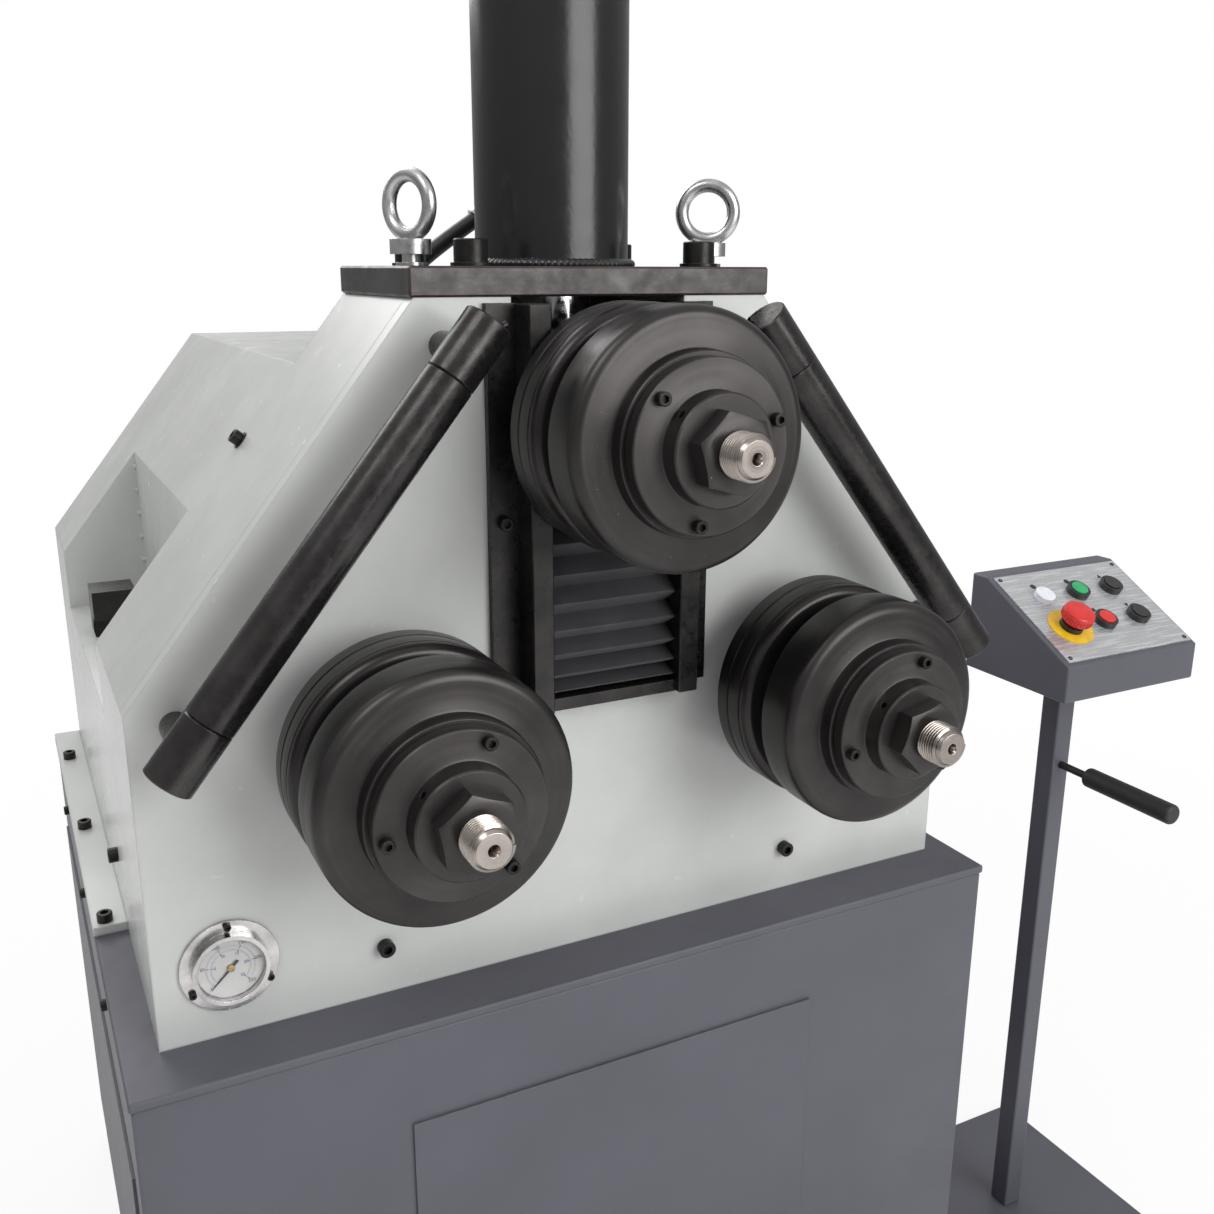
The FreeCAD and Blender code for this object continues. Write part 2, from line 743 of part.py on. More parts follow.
PORT = ("0", "cylinder_centre + barrel_radius + port_reach", f"{CROWN_TOP} + port_height")
port_blank = round_bar("port_blank", "port_radius", f"port_reach + {OVERRUN}", PORT[0],
                       f"{PORT[1]} - port_reach - {OVERRUN}", PORT[2], "Y")
barrel_clearance = round_bar("barrel_clearance", "barrel_radius + port_seat_gap", "barrel_height",
                             "0", "cylinder_centre", CROWN_TOP)
port_boss = cut("port_boss", port_blank, barrel_clearance)
port_ball = ball("port_ball", "port_radius", PORT)
port_ferrule = slanted_bar("port_ferrule", "elbow_radius", "ferrule_length", PORT, "hose_port_angle")

REAR_DECK = f"{DECK} + rear_height"
ELBOW = ("-deck_port_x", PORT[1], f"{REAR_DECK} + riser_height")
HOSE_START = (f"{PORT[0]} - ferrule_length * cos(hose_port_angle * 1deg)", PORT[1],
              f"{PORT[2]} - ferrule_length * sin(hose_port_angle * 1deg)")
HOSE_END = (f"{ELBOW[0]} + ferrule_length * cos(hose_deck_angle * 1deg)", ELBOW[1],
            f"{ELBOW[2]} + ferrule_length * sin(hose_deck_angle * 1deg)")

# The hose's points: the share of the way between its two ferrules, and the bow above it
HOSE_BOW = [(0, 0), (0.353, 5.4), (0.706, 6.3), (1, 0)]
port_mouth = FreeCAD.Vector(*(value_of(share) for share in HOSE_START))
deck_mouth = FreeCAD.Vector(*(value_of(share) for share in HOSE_END))
hose_points = [port_mouth + (deck_mouth - port_mouth) * way + FreeCAD.Vector(0, 0, bow)
               for way, bow in HOSE_BOW]
parts.append(hose_tube("cylinder_hose", hose_points, value_of("hose_radius")))

deck_ferrule = slanted_bar("deck_ferrule", "elbow_radius", "ferrule_length", HOSE_END, "hose_deck_angle")
deck_ball = ball("deck_ball", "elbow_radius", ELBOW)
deck_riser = round_bar("deck_riser", "elbow_radius", "riser_height", ELBOW[0], ELBOW[1], REAR_DECK)
deck_nut = hexagon("deck_nut", "deck_nut_flats", "deck_nut_height")
place(deck_nut, ELBOW[0], ELBOW[1], REAR_DECK)
parts.append(group("hose_fittings", fuse("port_fitting", port_boss, port_ball, port_ferrule),
                   fuse("deck_fitting", deck_ferrule, deck_ball, deck_riser, deck_nut)))


# Guide arms: a tube along each slope between two end pieces on studs
def arm(side, sign):
    arm_top = f"({DECK} + housing_height - arm_top_drop)"
    run_x = "(arm_low_x - arm_top_x)"
    run_z = f"({arm_top} - {DECK} - arm_low_z)"
    length = f"sqrt({run_x} * {run_x} + {run_z} * {run_z})"
    down_slope = FreeCAD.Vector(sign * value_of(run_x), 0, 0 - value_of(run_z))
    turn = FreeCAD.Rotation(FreeCAD.Vector(0, 1, 0), down_slope)

    def stretch(name, start, span):
        item = turned(name, [
            ("0", "0"),
            ("arm_radius - arm_chamfer", "0"),
            ("arm_radius", "arm_chamfer"),
            ("arm_radius", f"{span} - arm_chamfer"),
            ("arm_radius - arm_chamfer", span),
            ("0", span),
        ])
        item.Placement.Rotation = turn
        share = f"(({start}) / {length})"
        return place(item, f"{sign} * (arm_top_x + {run_x} * {share})", "0 - arm_stand_off",
                     f"{arm_top} - {run_z} * {share}")

    tube = stretch(f"arm_tube_{side}", "arm_end_length", f"{length} - 2 * arm_end_length")
    ends = []
    for level, start in (("top", "0"), ("low", f"{length} - arm_end_length")):
        end = stretch(f"arm_end_{level}_{side}_bar", start, "arm_end_length")
        middle = f"(({start} + arm_end_length / 2) / {length})"
        stud = round_bar(f"arm_stud_{level}_{side}", "arm_stud_radius", "arm_stand_off",
                         f"{sign} * (arm_top_x + {run_x} * {middle})", "0 - arm_stand_off",
                         f"{arm_top} - {run_z} * {middle}", "Y")
        ends.append(fuse(f"arm_end_{level}_{side}", end, stud))
    return [tube, group(f"arm_ends_{side}", *ends)]


parts += arm("left", -1)
parts += arm("right", 1)

# Pressure gauge: flanged round case with a sunk dial under a flat glass
gauge = turned("gauge_case", [
    ("0", "0"),
    ("gauge_flange_radius", "0"),
    ("gauge_flange_radius", "0 - gauge_flange_thickness"),
    ("gauge_case_radius", "0 - gauge_flange_thickness"),
    ("gauge_case_radius", "0 - gauge_case_front"),
    ("gauge_dial_radius", "0 - gauge_case_front"),
    ("gauge_dial_radius", "0 - gauge_case_front + gauge_dial_depth"),
    ("0", "0 - gauge_case_front + gauge_dial_depth"),
])
place(gauge, "0 - gauge_x", "0", f"{DECK} + gauge_z")
glass = round_bar("gauge_glass", "gauge_dial_radius - gauge_glass_fit", "gauge_glass_thickness",
                  "0 - gauge_x", "0 - gauge_case_front + gauge_glass_setback",
                  f"{DECK} + gauge_z", "Y")
parts += [gauge, glass]

# Block of the left drive, standing on the floor of the left recess
parts.append(box("drive_block", "0 - notch_wall - block_width", "block_front", f"{DECK} + notch_floor",
                 "block_width", "block_depth", "block_height"))

# Console: wedge box with a sloping face plate, on a square post and a floor plate
console_body = new_body("console_box")
console_wedge = pad(console_body, outline(console_body, "console_profile", "YZ_Plane", [
    ("0", "0"),
    ("console_depth", "0"),
    ("console_depth", "console_back_height"),
    ("console_depth - console_flat", "console_back_height"),
    ("0", "console_front_height"),
]), "console_width", False)
finish_edges(console_body, console_wedge, "Fillet", "console_edge_round")
place(console_body, "console_x", "console_y", "console_z")
post = edged_box("console_post", "console_x + (console_width - post_size) / 2",
                 "console_y + post_setback", "foot_plate_thickness", "post_size", "post_size",
                 "console_z - foot_plate_thickness", "Fillet", "post_edge_round")
foot_plate = edged_box("console_foot", "console_x + (console_width - foot_plate_size) / 2",
                       "console_y + post_setback + (post_size - foot_plate_size) / 2", "0",
                       "foot_plate_size", "foot_plate_size", "foot_plate_thickness",
                       "Fillet", "post_edge_round")
grip_back = "0 - handle_rod_length"
grip_front = f"{grip_back} - grip_length"
handle = turned("console_handle", [
    ("0", "0"),
    ("handle_rod_radius", "0"),
    ("handle_rod_radius", grip_back),
    ("grip_radius", grip_back),
    ("grip_radius", grip_front),
    ("0", grip_front),
])
round_edges(handle, "grip_ends_round", "grip_round", [("grip_radius", grip_back), ("grip_radius", grip_front)])
place(handle, "console_x + console_width / 2", "console_y + post_setback", "handle_height")
parts += [console_body, post, foot_plate, handle]

# Slope of the console's face, worked out from its two heights
rise = "(console_back_height - console_front_height)"
run = "(console_depth - console_flat)"
slope_angle = math.degrees(math.atan2(value_of(rise), value_of(run)))
slope_turn = FreeCAD.Rotation(FreeCAD.Vector(1, 0, 0), slope_angle)
slope_length = f"sqrt({rise} * {rise} + {run} * {run})"


def on_slope(item, u, v, lift):
    """Seat an item on the console's face: u across, v up the slope, lift off the face."""
    item.Placement.Rotation = slope_turn
    along_run = f"({run} / ({slope_length}))"
    along_rise = f"({rise} / ({slope_length}))"
    return place(item, f"console_x + {u}", f"console_y + ({v}) * {along_run} - ({lift}) * {along_rise}",
                 f"console_z + console_front_height + ({v}) * {along_rise} + ({lift}) * {along_run}")


face = doc.addObject("Part::Box", "face_blank")
bind(face, {"Length": "console_width - 2 * console_panel_margin",
            "Width": f"{slope_length} - 2 * console_panel_margin", "Height": "console_panel_thickness"})
on_slope(face, "console_panel_margin", "console_panel_margin", "0")
face.Label = "console_face"
parts.append(face)

CENTRE = "console_width / 2"
PUSH_BUTTONS = {
    "start_button": (CENTRE, "button_high_row"),
    "up_button": (f"{CENTRE} + button_pitch", "button_high_row"),
    "stop_button": (CENTRE, "button_low_row"),
    "down_button": (f"{CENTRE} + button_pitch", "button_low_row"),
}
LAMP_PLACE = (f"{CENTRE} - button_pitch", "button_high_row")
STOP_PLACE = (f"{CENTRE} - button_pitch", "button_low_row")
PANEL = "console_panel_thickness"
REST = f"{PANEL} + button_travel + button_stop_gap"


def slope_disc(name, radius, height, seat, lift):
    item = doc.addObject("Part::Cylinder", name)
    item.Label = name
    bind(item, {"Radius": radius, "Height": height})
    return on_slope(item, *seat, lift)


def slope_ring(name, radius, bore, height, seat):
    disc = slope_disc(name + "_disc", radius, height, seat, PANEL)
    hole = slope_disc(name + "_hole", bore, f"{height} + 2 * {OVERRUN}", seat, f"{PANEL} - {OVERRUN}")
    return cut(name, disc, hole)


bezels = []
for name, seat in PUSH_BUTTONS.items():
    bezels.append(slope_ring(name + "_bezel", "bezel_radius", "button_radius + button_fit",
                             "bezel_height", seat))
    parts.append(slope_disc(name, "button_radius", "button_height - button_travel", seat, REST))
bezels.append(slope_ring("stop_collar", "bezel_radius", "stop_stem_radius + button_fit",
                         "bezel_height", STOP_PLACE))
parts.append(group("button_bezels", *bezels))
parts.append(slope_disc("power_lamp", "lamp_radius", "bezel_height", LAMP_PLACE, PANEL))
parts.append(slope_ring("stop_ring", "stop_ring_radius", "bezel_radius + button_fit",
                        "stop_ring_thickness", STOP_PLACE))

# Emergency stop: a mushroom cap on a stem, turned in one piece
stop_foot = "button_travel + button_stop_gap"
stop_top = "stop_lift + stop_cap_height"
emergency_stop = turned("emergency_stop", [
    ("0", stop_foot),
    ("stop_stem_radius", stop_foot),
    ("stop_stem_radius", "stop_lift"),
    ("stop_cap_radius", "stop_lift"),
    ("stop_cap_radius", stop_top),
    ("0", stop_top),
])
round_edges(emergency_stop, "stop_cap_edge", "stop_cap_round", [("stop_cap_radius", stop_top)])
on_slope(emergency_stop, *STOP_PLACE, PANEL)
emergency_stop.Placement.Rotation = slope_turn * FreeCAD.Rotation(FreeCAD.Vector(1, 0, 0), 90)
parts.append(emergency_stop)


def write_parts():
    doc.recompute()
    for item in doc.Objects:
        if "Invalid" in item.State or "Error" in item.State:
            raise RuntimeError(f"{item.Label} did not rebuild: {item.State}")
    os.makedirs("parts", exist_ok=True)
    for item in parts:
        shape = item.Shape
        if shape.isNull() or not shape.isValid():
            raise RuntimeError(f"{item.Label} is not a sound shape")
    for item in parts:
        item.Shape.exportStep(f"parts/{item.Label}.step")
    print(len(parts), "sub-parts written")


write_parts()
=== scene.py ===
from math import cos, pi, radians, sin

import bpy
from mathutils import Matrix, Vector


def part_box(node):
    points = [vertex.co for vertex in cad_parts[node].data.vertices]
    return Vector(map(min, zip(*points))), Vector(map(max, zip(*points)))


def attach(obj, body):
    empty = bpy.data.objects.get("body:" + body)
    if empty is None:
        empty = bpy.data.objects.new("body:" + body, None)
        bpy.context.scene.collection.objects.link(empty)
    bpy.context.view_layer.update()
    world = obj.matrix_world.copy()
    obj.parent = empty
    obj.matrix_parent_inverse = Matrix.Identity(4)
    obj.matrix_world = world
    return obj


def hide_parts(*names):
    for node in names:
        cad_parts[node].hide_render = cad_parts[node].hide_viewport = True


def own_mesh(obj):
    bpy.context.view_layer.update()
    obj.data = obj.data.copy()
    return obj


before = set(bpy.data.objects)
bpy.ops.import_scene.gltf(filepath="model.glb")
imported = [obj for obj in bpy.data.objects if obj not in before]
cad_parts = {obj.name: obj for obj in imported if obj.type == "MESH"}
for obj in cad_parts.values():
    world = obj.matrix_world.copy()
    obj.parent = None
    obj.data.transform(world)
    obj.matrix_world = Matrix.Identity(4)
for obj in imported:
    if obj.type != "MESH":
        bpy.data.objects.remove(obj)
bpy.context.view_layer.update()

# Room. A pale floor under the machine, a white surround, and three soft lamps: one high in front
# on the right, one weak on the left, one over the rear.
LAMPS = {
    "key_lamp": ((1.3, -3.1, 2.2), (0.0, 0.1, 1.0), 2.4, 92),
    "left_lamp": ((-1.6, -0.9, 3.4), (-0.2, 0.2, 1.1), 1.2, 20),
    "rear_lamp": ((-0.6, 2.6, 3.2), (0.0, 0.3, 1.2), 2.4, 55),
}
FLOOR_SIZE = 14
FLOOR_MIDDLE = (0.2, 0.3, 0)
FLOOR_COLOUR = (0.82, 0.82, 0.82, 1)
FLOOR_ROUGHNESS = 0.7
FADE_START = 1.0
FADE_END = 2.6
NEAR_WHITE = 0.85
LEVEL_LIGHT = 0.26
OVERHEAD_LIGHT = 0.80


def add(tree, kind, inputs=None, **settings):
    """A node with its settings, its inputs linked where they are sockets."""
    node = tree.nodes.new(kind)
    for name, value in settings.items():
        setattr(node, name, value)
    for name, value in (inputs or {}).items():
        if isinstance(value, bpy.types.NodeSocket):
            tree.links.new(value, node.inputs[name])
        else:
            node.inputs[name].default_value = value
    return node


def seen_directly(tree):
    """1 for rays from the eye or through glass, 0 for light that falls on things."""
    path = add(tree, "ShaderNodeLightPath")
    return add(tree, "ShaderNodeMath", {
        0: path.outputs["Is Camera Ray"], 1: path.outputs["Is Transmission Ray"],
    }, operation="MAXIMUM").outputs[0]


bpy.ops.object.select_all(action="DESELECT")
world = bpy.data.worlds.new("white_surround")
world.use_nodes = True
bpy.context.scene.world = world
surround = world.node_tree
toward = add(surround, "ShaderNodeTexCoord").outputs["Generated"]
skyward = add(surround, "ShaderNodeSeparateXYZ", {0: toward})
room_light = add(surround, "ShaderNodeMapRange", {
    "Value": skyward.outputs["Z"], "From Min": 0.0, "From Max": 0.9,
    "To Min": LEVEL_LIGHT, "To Max": OVERHEAD_LIGHT,
})
strength = add(surround, "ShaderNodeMix", {0: seen_directly(surround), 2: room_light.outputs[0], 3: 1.0})
surround.links.new(strength.outputs[0], surround.nodes["Background"].inputs["Strength"])
surround.nodes["Background"].inputs["Color"].default_value = (1, 1, 1, 1)

for lamp_name, (lamp_place, lamp_aim, lamp_size, lamp_watts) in LAMPS.items():
    bpy.ops.object.light_add(type="AREA", location=lamp_place)
    lamp = bpy.context.object
    lamp.name = lamp_name
    lamp.data.energy = lamp_watts
    lamp.data.size = lamp_size
    lamp.rotation_euler = (Vector(lamp_aim) - Vector(lamp_place)).to_track_quat("-Z", "Y").to_euler()

bpy.ops.mesh.primitive_plane_add(size=FLOOR_SIZE, location=FLOOR_MIDDLE)
floor = bpy.context.object
floor.name = "floor"
floor_paint = bpy.data.materials.new("floor_paint")
floor_paint.use_nodes = True
floor_tree = floor_paint.node_tree
floor_shader = floor_tree.nodes["Principled BSDF"]
floor_shader.inputs["Base Color"].default_value = FLOOR_COLOUR
floor_shader.inputs["Roughness"].default_value = FLOOR_ROUGHNESS
white = add(floor_tree, "ShaderNodeEmission", {"Strength": 1.0})
floor_reach = add(floor_tree, "ShaderNodeVectorMath",
                  {0: add(floor_tree, "ShaderNodeTexCoord").outputs["Object"]}, operation="LENGTH")
fading = add(floor_tree, "ShaderNodeMapRange", {
    "Value": floor_reach.outputs["Value"], "From Min": FADE_START, "From Max": FADE_END,
    "To Min": NEAR_WHITE, "To Max": 1.0,
})
half_seen = add(floor_tree, "ShaderNodeMath", {0: seen_directly(floor_tree), 1: fading.outputs[0]},
                operation="MULTIPLY")
floor_mix = add(floor_tree, "ShaderNodeMixShader", {
    0: half_seen.outputs[0],
    1: floor_shader.outputs[0],
    2: white.outputs[0],
})
floor_tree.links.new(floor_mix.outputs[0], floor_tree.nodes["Material Output"].inputs["Surface"])
floor.data.materials.append(floor_paint)

# Camera. It stands in front on the left at eye height and looks down to the right.
EYE = Vector((-0.5121, -1.0165, 1.3758))
EYE_TURN = radians(27.073)
EYE_DOWN = radians(15.571)
EYE_ROLL = radians(0.17)
LENS_MM = 36.04
SENSOR_MM = 36

bpy.ops.object.camera_add()
camera = bpy.context.object
camera.data.lens = LENS_MM
camera.data.sensor_width = SENSOR_MM
forward = Vector((sin(EYE_TURN) * cos(EYE_DOWN), cos(EYE_TURN) * cos(EYE_DOWN), -sin(EYE_DOWN)))
level_right = Vector((cos(EYE_TURN), -sin(EYE_TURN), 0))
level_up = level_right.cross(forward)
right = level_right * cos(EYE_ROLL) + level_up * sin(EYE_ROLL)
up = level_up * cos(EYE_ROLL) - level_right * sin(EYE_ROLL)
facing = Matrix((right, up, -forward)).transposed().to_4x4()
camera.matrix_world = Matrix.Translation(EYE) @ facing
bpy.context.scene.camera = camera
bpy.context.scene.view_settings.view_transform = "Standard"

# Floor cabinet. Folded and welded sheet steel, powder coated dark grey. The thick lid that the
# housing stands on is held by cap screws through the folded rim on each side.
CABINET_PAINT = (0.084, 0.084, 0.104, 1)
CABINET_CHIPS = (0.19, 0.17, 0.16, 1)
SIDE_SCREW_PLACES = (0.130, 0.377, 0.625)
SIDE_SCREW_DROP = 0.018
SMOOTH_ANGLE = radians(32)


def object_place(tree):
    return add(tree, "ShaderNodeTexCoord").outputs["Object"]


def noise(tree, scale, detail=4, place=None, roughness=0.55):
    """Soft random spots, scale of them to a metre."""
    return add(tree, "ShaderNodeTexNoise", {
        "Vector": place or object_place(tree), "Scale": scale, "Detail": detail, "Roughness": roughness,
    }).outputs["Fac"]


def spread(tree, value, low, high, start=0.0, end=1.0):
    """Stretches a value's range from low..high to start..end."""
    return add(tree, "ShaderNodeMapRange", {
        "Value": value, "From Min": low, "From Max": high, "To Min": start, "To Max": end,
    }).outputs[0]


def times(tree, one, other):
    """The product of two values, held between 0 and 1."""
    product = add(tree, "ShaderNodeMath", {0: one, 1: other}, operation="MULTIPLY", use_clamp=True)
    return product.outputs[0]


def mixed(tree, share, one, other):
    """One colour with a share of the other over it."""
    node = add(tree, "ShaderNodeMix", data_type="RGBA")
    for socket, value in ((0, share), (6, one), (7, other)):
        if isinstance(value, bpy.types.NodeSocket):
            tree.links.new(value, node.inputs[socket])
        else:
            node.inputs[socket].default_value = value
    return node.outputs[2]


def worn_edges(tree, reach):
    """1 on sharp corners where a rag, a sling or a tool has rubbed, 0 on the flats."""
    rounded = add(tree, "ShaderNodeBevel", {"Radius": reach})
    plain = add(tree, "ShaderNodeNewGeometry").outputs["Normal"]
    same = add(tree, "ShaderNodeVectorMath", {0: rounded.outputs[0], 1: plain}, operation="DOT_PRODUCT")
    corner = spread(tree, same.outputs["Value"], 0.985, 0.80)
    return times(tree, corner, spread(tree, noise(tree, 60, 6), 0.40, 0.62))


def shade(tint, factor):
    return (tint[0] * factor, tint[1] * factor, tint[2] * factor, 1)


def new_material(name, roughness, metallic=0.0):
    material = bpy.data.materials.new(name)
    material.use_nodes = True
    shader = material.node_tree.nodes["Principled BSDF"]
    shader.inputs["Roughness"].default_value = roughness
    shader.inputs["Metallic"].default_value = metallic
    return material, material.node_tree, shader


def bumped(tree, shader, height, depth, corner=0.0007):
    """Surface grain, over corners rounded by a hair so that they catch the light."""
    soft = add(tree, "ShaderNodeBevel", {"Radius": corner}).outputs[0]
    bump = add(tree, "ShaderNodeBump", {"Height": height, "Distance": depth, "Strength": 1.0, "Normal": soft})
    tree.links.new(bump.outputs[0], shader.inputs["Normal"])


def paint(name, colour, chips, roughness, grain, depth, wear=0.0012, corner=0.0008):
    """Sprayed paint: a fine grain, hand marks and dust in broad patches, rubbed corners."""
    material, tree, shader = new_material(name, roughness)
    patches = spread(tree, noise(tree, 5, 6), 0.35, 0.68)
    smears = spread(tree, noise(tree, 38, 2), 0.35, 0.75)
    body = mixed(tree, patches, shade(colour, 0.90), shade(colour, 1.07))
    body = mixed(tree, worn_edges(tree, wear), body, chips)
    tree.links.new(body, shader.inputs["Base Color"])
    gloss = add(tree, "ShaderNodeMath", {0: times(tree, smears, 0.06), 1: roughness}, operation="ADD")
    tree.links.new(gloss.outputs[0], shader.inputs["Roughness"])
    bumped(tree, shader, noise(tree, grain, 3), depth, corner)
    return material


def finish(material, *nodes):
    """Gives these pieces of the frame their finish."""
    for node in nodes:
        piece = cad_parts[node]
        if piece.material_slots:
            piece.material_slots[0].material = material
        else:
            piece.data.materials.append(material)


def keep(piece, body, material):
    """A finished piece: its place in its mesh, its finish, and the body that it rides on."""
    bpy.ops.object.select_all(action="DESELECT")
    piece.select_set(True)
    bpy.context.view_layer.objects.active = piece
    bpy.ops.object.transform_apply(location=True, rotation=True, scale=True)
    bpy.ops.object.shade_smooth_by_angle(angle=SMOOTH_ANGLE)
    piece.data.materials.clear()
    piece.data.materials.append(material)
    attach(piece, body)
    return piece


def turned(name, rings, sides=64):
    """A round piece along +Z, drawn out from ring to ring of (radius, height)."""
    bpy.ops.object.select_all(action="DESELECT")
    radius, height = rings[0]
    bpy.ops.mesh.primitive_circle_add(vertices=sides, radius=radius, fill_type="NGON",
                                      location=(0, 0, height))
    piece = bpy.context.object
    piece.name = name
    bpy.ops.object.mode_set(mode="EDIT")
    bpy.ops.mesh.select_all(action="SELECT")
    for next_radius, next_height in rings[1:]:
        lift = {"value": (0, 0, next_height - height)}
        bpy.ops.mesh.extrude_region_move(TRANSFORM_OT_translate=lift)
        if next_radius != radius:
            factor = next_radius / radius
            bpy.ops.transform.resize(value=(factor, factor, 1), center_override=(0, 0, next_height))
        radius, height = next_radius, next_height
    bpy.ops.mesh.select_all(action="SELECT")
    bpy.ops.mesh.normals_make_consistent(inside=False)
    bpy.ops.object.mode_set(mode="OBJECT")
    bpy.ops.object.transform_apply(location=True)
    return piece


def sink(piece, cutter, operation="DIFFERENCE"):
    """Cuts one piece out of another, or to their common part, and removes the cutter."""
    cutting = piece.modifiers.new("cut", "BOOLEAN")
    cutting.object = cutter
    cutting.operation = operation
    cutting.solver = "EXACT"
    bpy.context.view_layer.objects.active = piece
    bpy.ops.object.modifier_apply(modifier="cut")
    bpy.data.objects.remove(cutter)


def copied(piece, name, place, direction=(0, 0, 1), size=1.0):
    """A copy with its own mesh, its +Z turned to a direction, standing at a place."""
    twin = piece.copy()
    twin.data = piece.data.copy()
    twin.name = name
    bpy.context.collection.objects.link(twin)
    twin.rotation_euler = Vector(direction).to_track_quat("Z", "Y").to_euler()
    twin.location = place
    twin.scale = (size, size, size)
    return twin


def joined(name, pieces):
    """One object from several, each with its place kept."""
    bpy.ops.object.select_all(action="DESELECT")
    for piece in pieces:
        piece.select_set(True)
    bpy.context.view_layer.objects.active = pieces[0]
    bpy.ops.object.join()
    pieces[0].name = name
    return pieces[0]


cabinet_paint = paint("cabinet_paint", CABINET_PAINT, CABINET_CHIPS, 0.46, 900, 0.00012)
finish(cabinet_paint, "base_cabinet", "base_lid", "base_door", "side_panels")

# Cap screws. M10 screws of black oxide steel, turned, with a hexagon socket. One is modelled and
# every other one is a copy of it at its own size.
SCREW_HEAD = 0.008
SCREW_HEIGHT = 0.010
SCREW_SOCKET = 0.0046
SCREW_CHAMFER = 0.0008
WASHER_RADIUS = SCREW_HEAD * 1.28
WASHER_EDGE = SCREW_HEAD * 0.06
WASHER_THICKNESS = 0.0018
BLACK_OXIDE = (0.035, 0.033, 0.032, 1)


def bare_metal(name, colour, roughness, scratch=0.00002, wear=0.0006, shine=0.85):
    """Metal with fine marks, finger stains and corners rubbed bright."""
    material, tree, shader = new_material(name, roughness, shine)
    stains = spread(tree, noise(tree, 30, 7), 0.38, 0.70)
    body = mixed(tree, stains, shade(colour, 0.75), shade(colour, 1.2))
    body = mixed(tree, worn_edges(tree, wear), body, shade(colour, 2.1))
    tree.links.new(body, shader.inputs["Base Color"])
    gloss = spread(tree, noise(tree, 140, 5), 0.3, 0.7, roughness - 0.08, roughness + 0.10)
    tree.links.new(gloss, shader.inputs["Roughness"])
    bumped(tree, shader, noise(tree, 1400, 3), scratch)
    return material


black_oxide = bare_metal("black_oxide", BLACK_OXIDE, 0.34)
cap_screw = turned("cap_screw", [
    (SCREW_HEAD - SCREW_CHAMFER, 0),
    (SCREW_HEAD, SCREW_CHAMFER),
    (SCREW_HEAD, SCREW_HEIGHT - SCREW_CHAMFER),
    (SCREW_HEAD - SCREW_CHAMFER, SCREW_HEIGHT),
], 40)
bpy.ops.mesh.primitive_cylinder_add(vertices=6, radius=SCREW_SOCKET, depth=SCREW_HEIGHT,
                                    location=(0, 0, SCREW_HEIGHT * 0.95))
sink(cap_screw, bpy.context.object)
washer = turned("washer", [
    (WASHER_RADIUS - WASHER_EDGE, 0),
    (WASHER_RADIUS, 0.0003),
    (WASHER_RADIUS, WASHER_THICKNESS - 0.0003),
    (WASHER_RADIUS - WASHER_EDGE, WASHER_THICKNESS),
], 40)


def screwed(name, spots, body="machine", size=1.0, with_washer=False):
    """Cap screws at their places, each facing its direction, kept as one piece."""
    pieces = []
    for place, direction in spots:
        lift = Vector(direction).normalized() * (0.0017 * size if with_washer else 0)
        pieces.append(copied(cap_screw, name, Vector(place) + lift, direction, size))
        if with_washer:
            pieces.append(copied(washer, name, place, direction, size))
    return keep(joined(name, pieces), body, black_oxide)


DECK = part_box("base_lid")[1].z
case_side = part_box("base_cabinet")[1].x
screwed("lid_screws", [((side * case_side, along, DECK - SIDE_SCREW_DROP), (side, 0, 0))
                       for side in (-1, 1) for along in SIDE_SCREW_PLACES], size=0.72)

# Housing. Steel plate, welded and filled, sprayed in light grey gloss paint. Its thick front
# plate carries the slide way; screws hold it to the sides, the slopes and the lid.
HOUSING_PAINT = (0.550, 0.562, 0.548, 1)
HOUSING_CHIPS = (0.50, 0.50, 0.48, 1)
FLANGE_SCREWS = (0.247, 0.495, 0.742)
FLANGE_SCREW_X = 0.461
PLATE_SCREW = (0.230, 0.0505)
WALL_SCREW = (0.268, 0.073)
SLOPE_SCREW = (0.287, 0.218, 0.510)
SHOULDER = DECK + 0.318
SLOPE_TOP_X = 0.177
TACK_COUNT = 5
TACK_X = 0.3425
TACK_Y = 0.6755
TACK_TOP = 0.4246
TACK_PITCH = 0.0313
TACK_RADIUS = 0.004

housing_paint = paint("housing_paint", HOUSING_PAINT, HOUSING_CHIPS, 0.22, 320, 0.00003, corner=0.003)
finish(housing_paint, "front_plate", "housing_body", "rear_cover", "foot_flanges")
flange_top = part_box("foot_flanges")[1].z
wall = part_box("front_plate")[1].x
screwed("flange_screws", [((side * FLANGE_SCREW_X, along, flange_top), (0, 0, 1))
                          for side in (-1, 1) for along in FLANGE_SCREWS])
screwed("plate_screws", [((side * PLATE_SCREW[0], 0, DECK + PLATE_SCREW[1]), (0, -1, 0))
                         for side in (-1, 1)])
screwed("wall_screws", [((side * wall, WALL_SCREW[0], DECK + WALL_SCREW[1]), (side, 0, 0))
                        for side in (-1, 1)])
plate_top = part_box("front_plate")[1].z
slope_out = Vector((plate_top - SHOULDER, 0, wall - SLOPE_TOP_X)).normalized()
slope_spots = []
for side in (-1, 1):
    out = Vector((side * slope_out.x, 0, slope_out.z))
    start = Vector((side * SLOPE_SCREW[0], SLOPE_SCREW[1], DECK + SLOPE_SCREW[2]))
    lift = (Vector((side * wall, 0, SHOULDER)) - start).dot(out)
    slope_spots.append((start + out * lift, out))
screwed("slope_screws", slope_spots, size=0.9, with_washer=True)

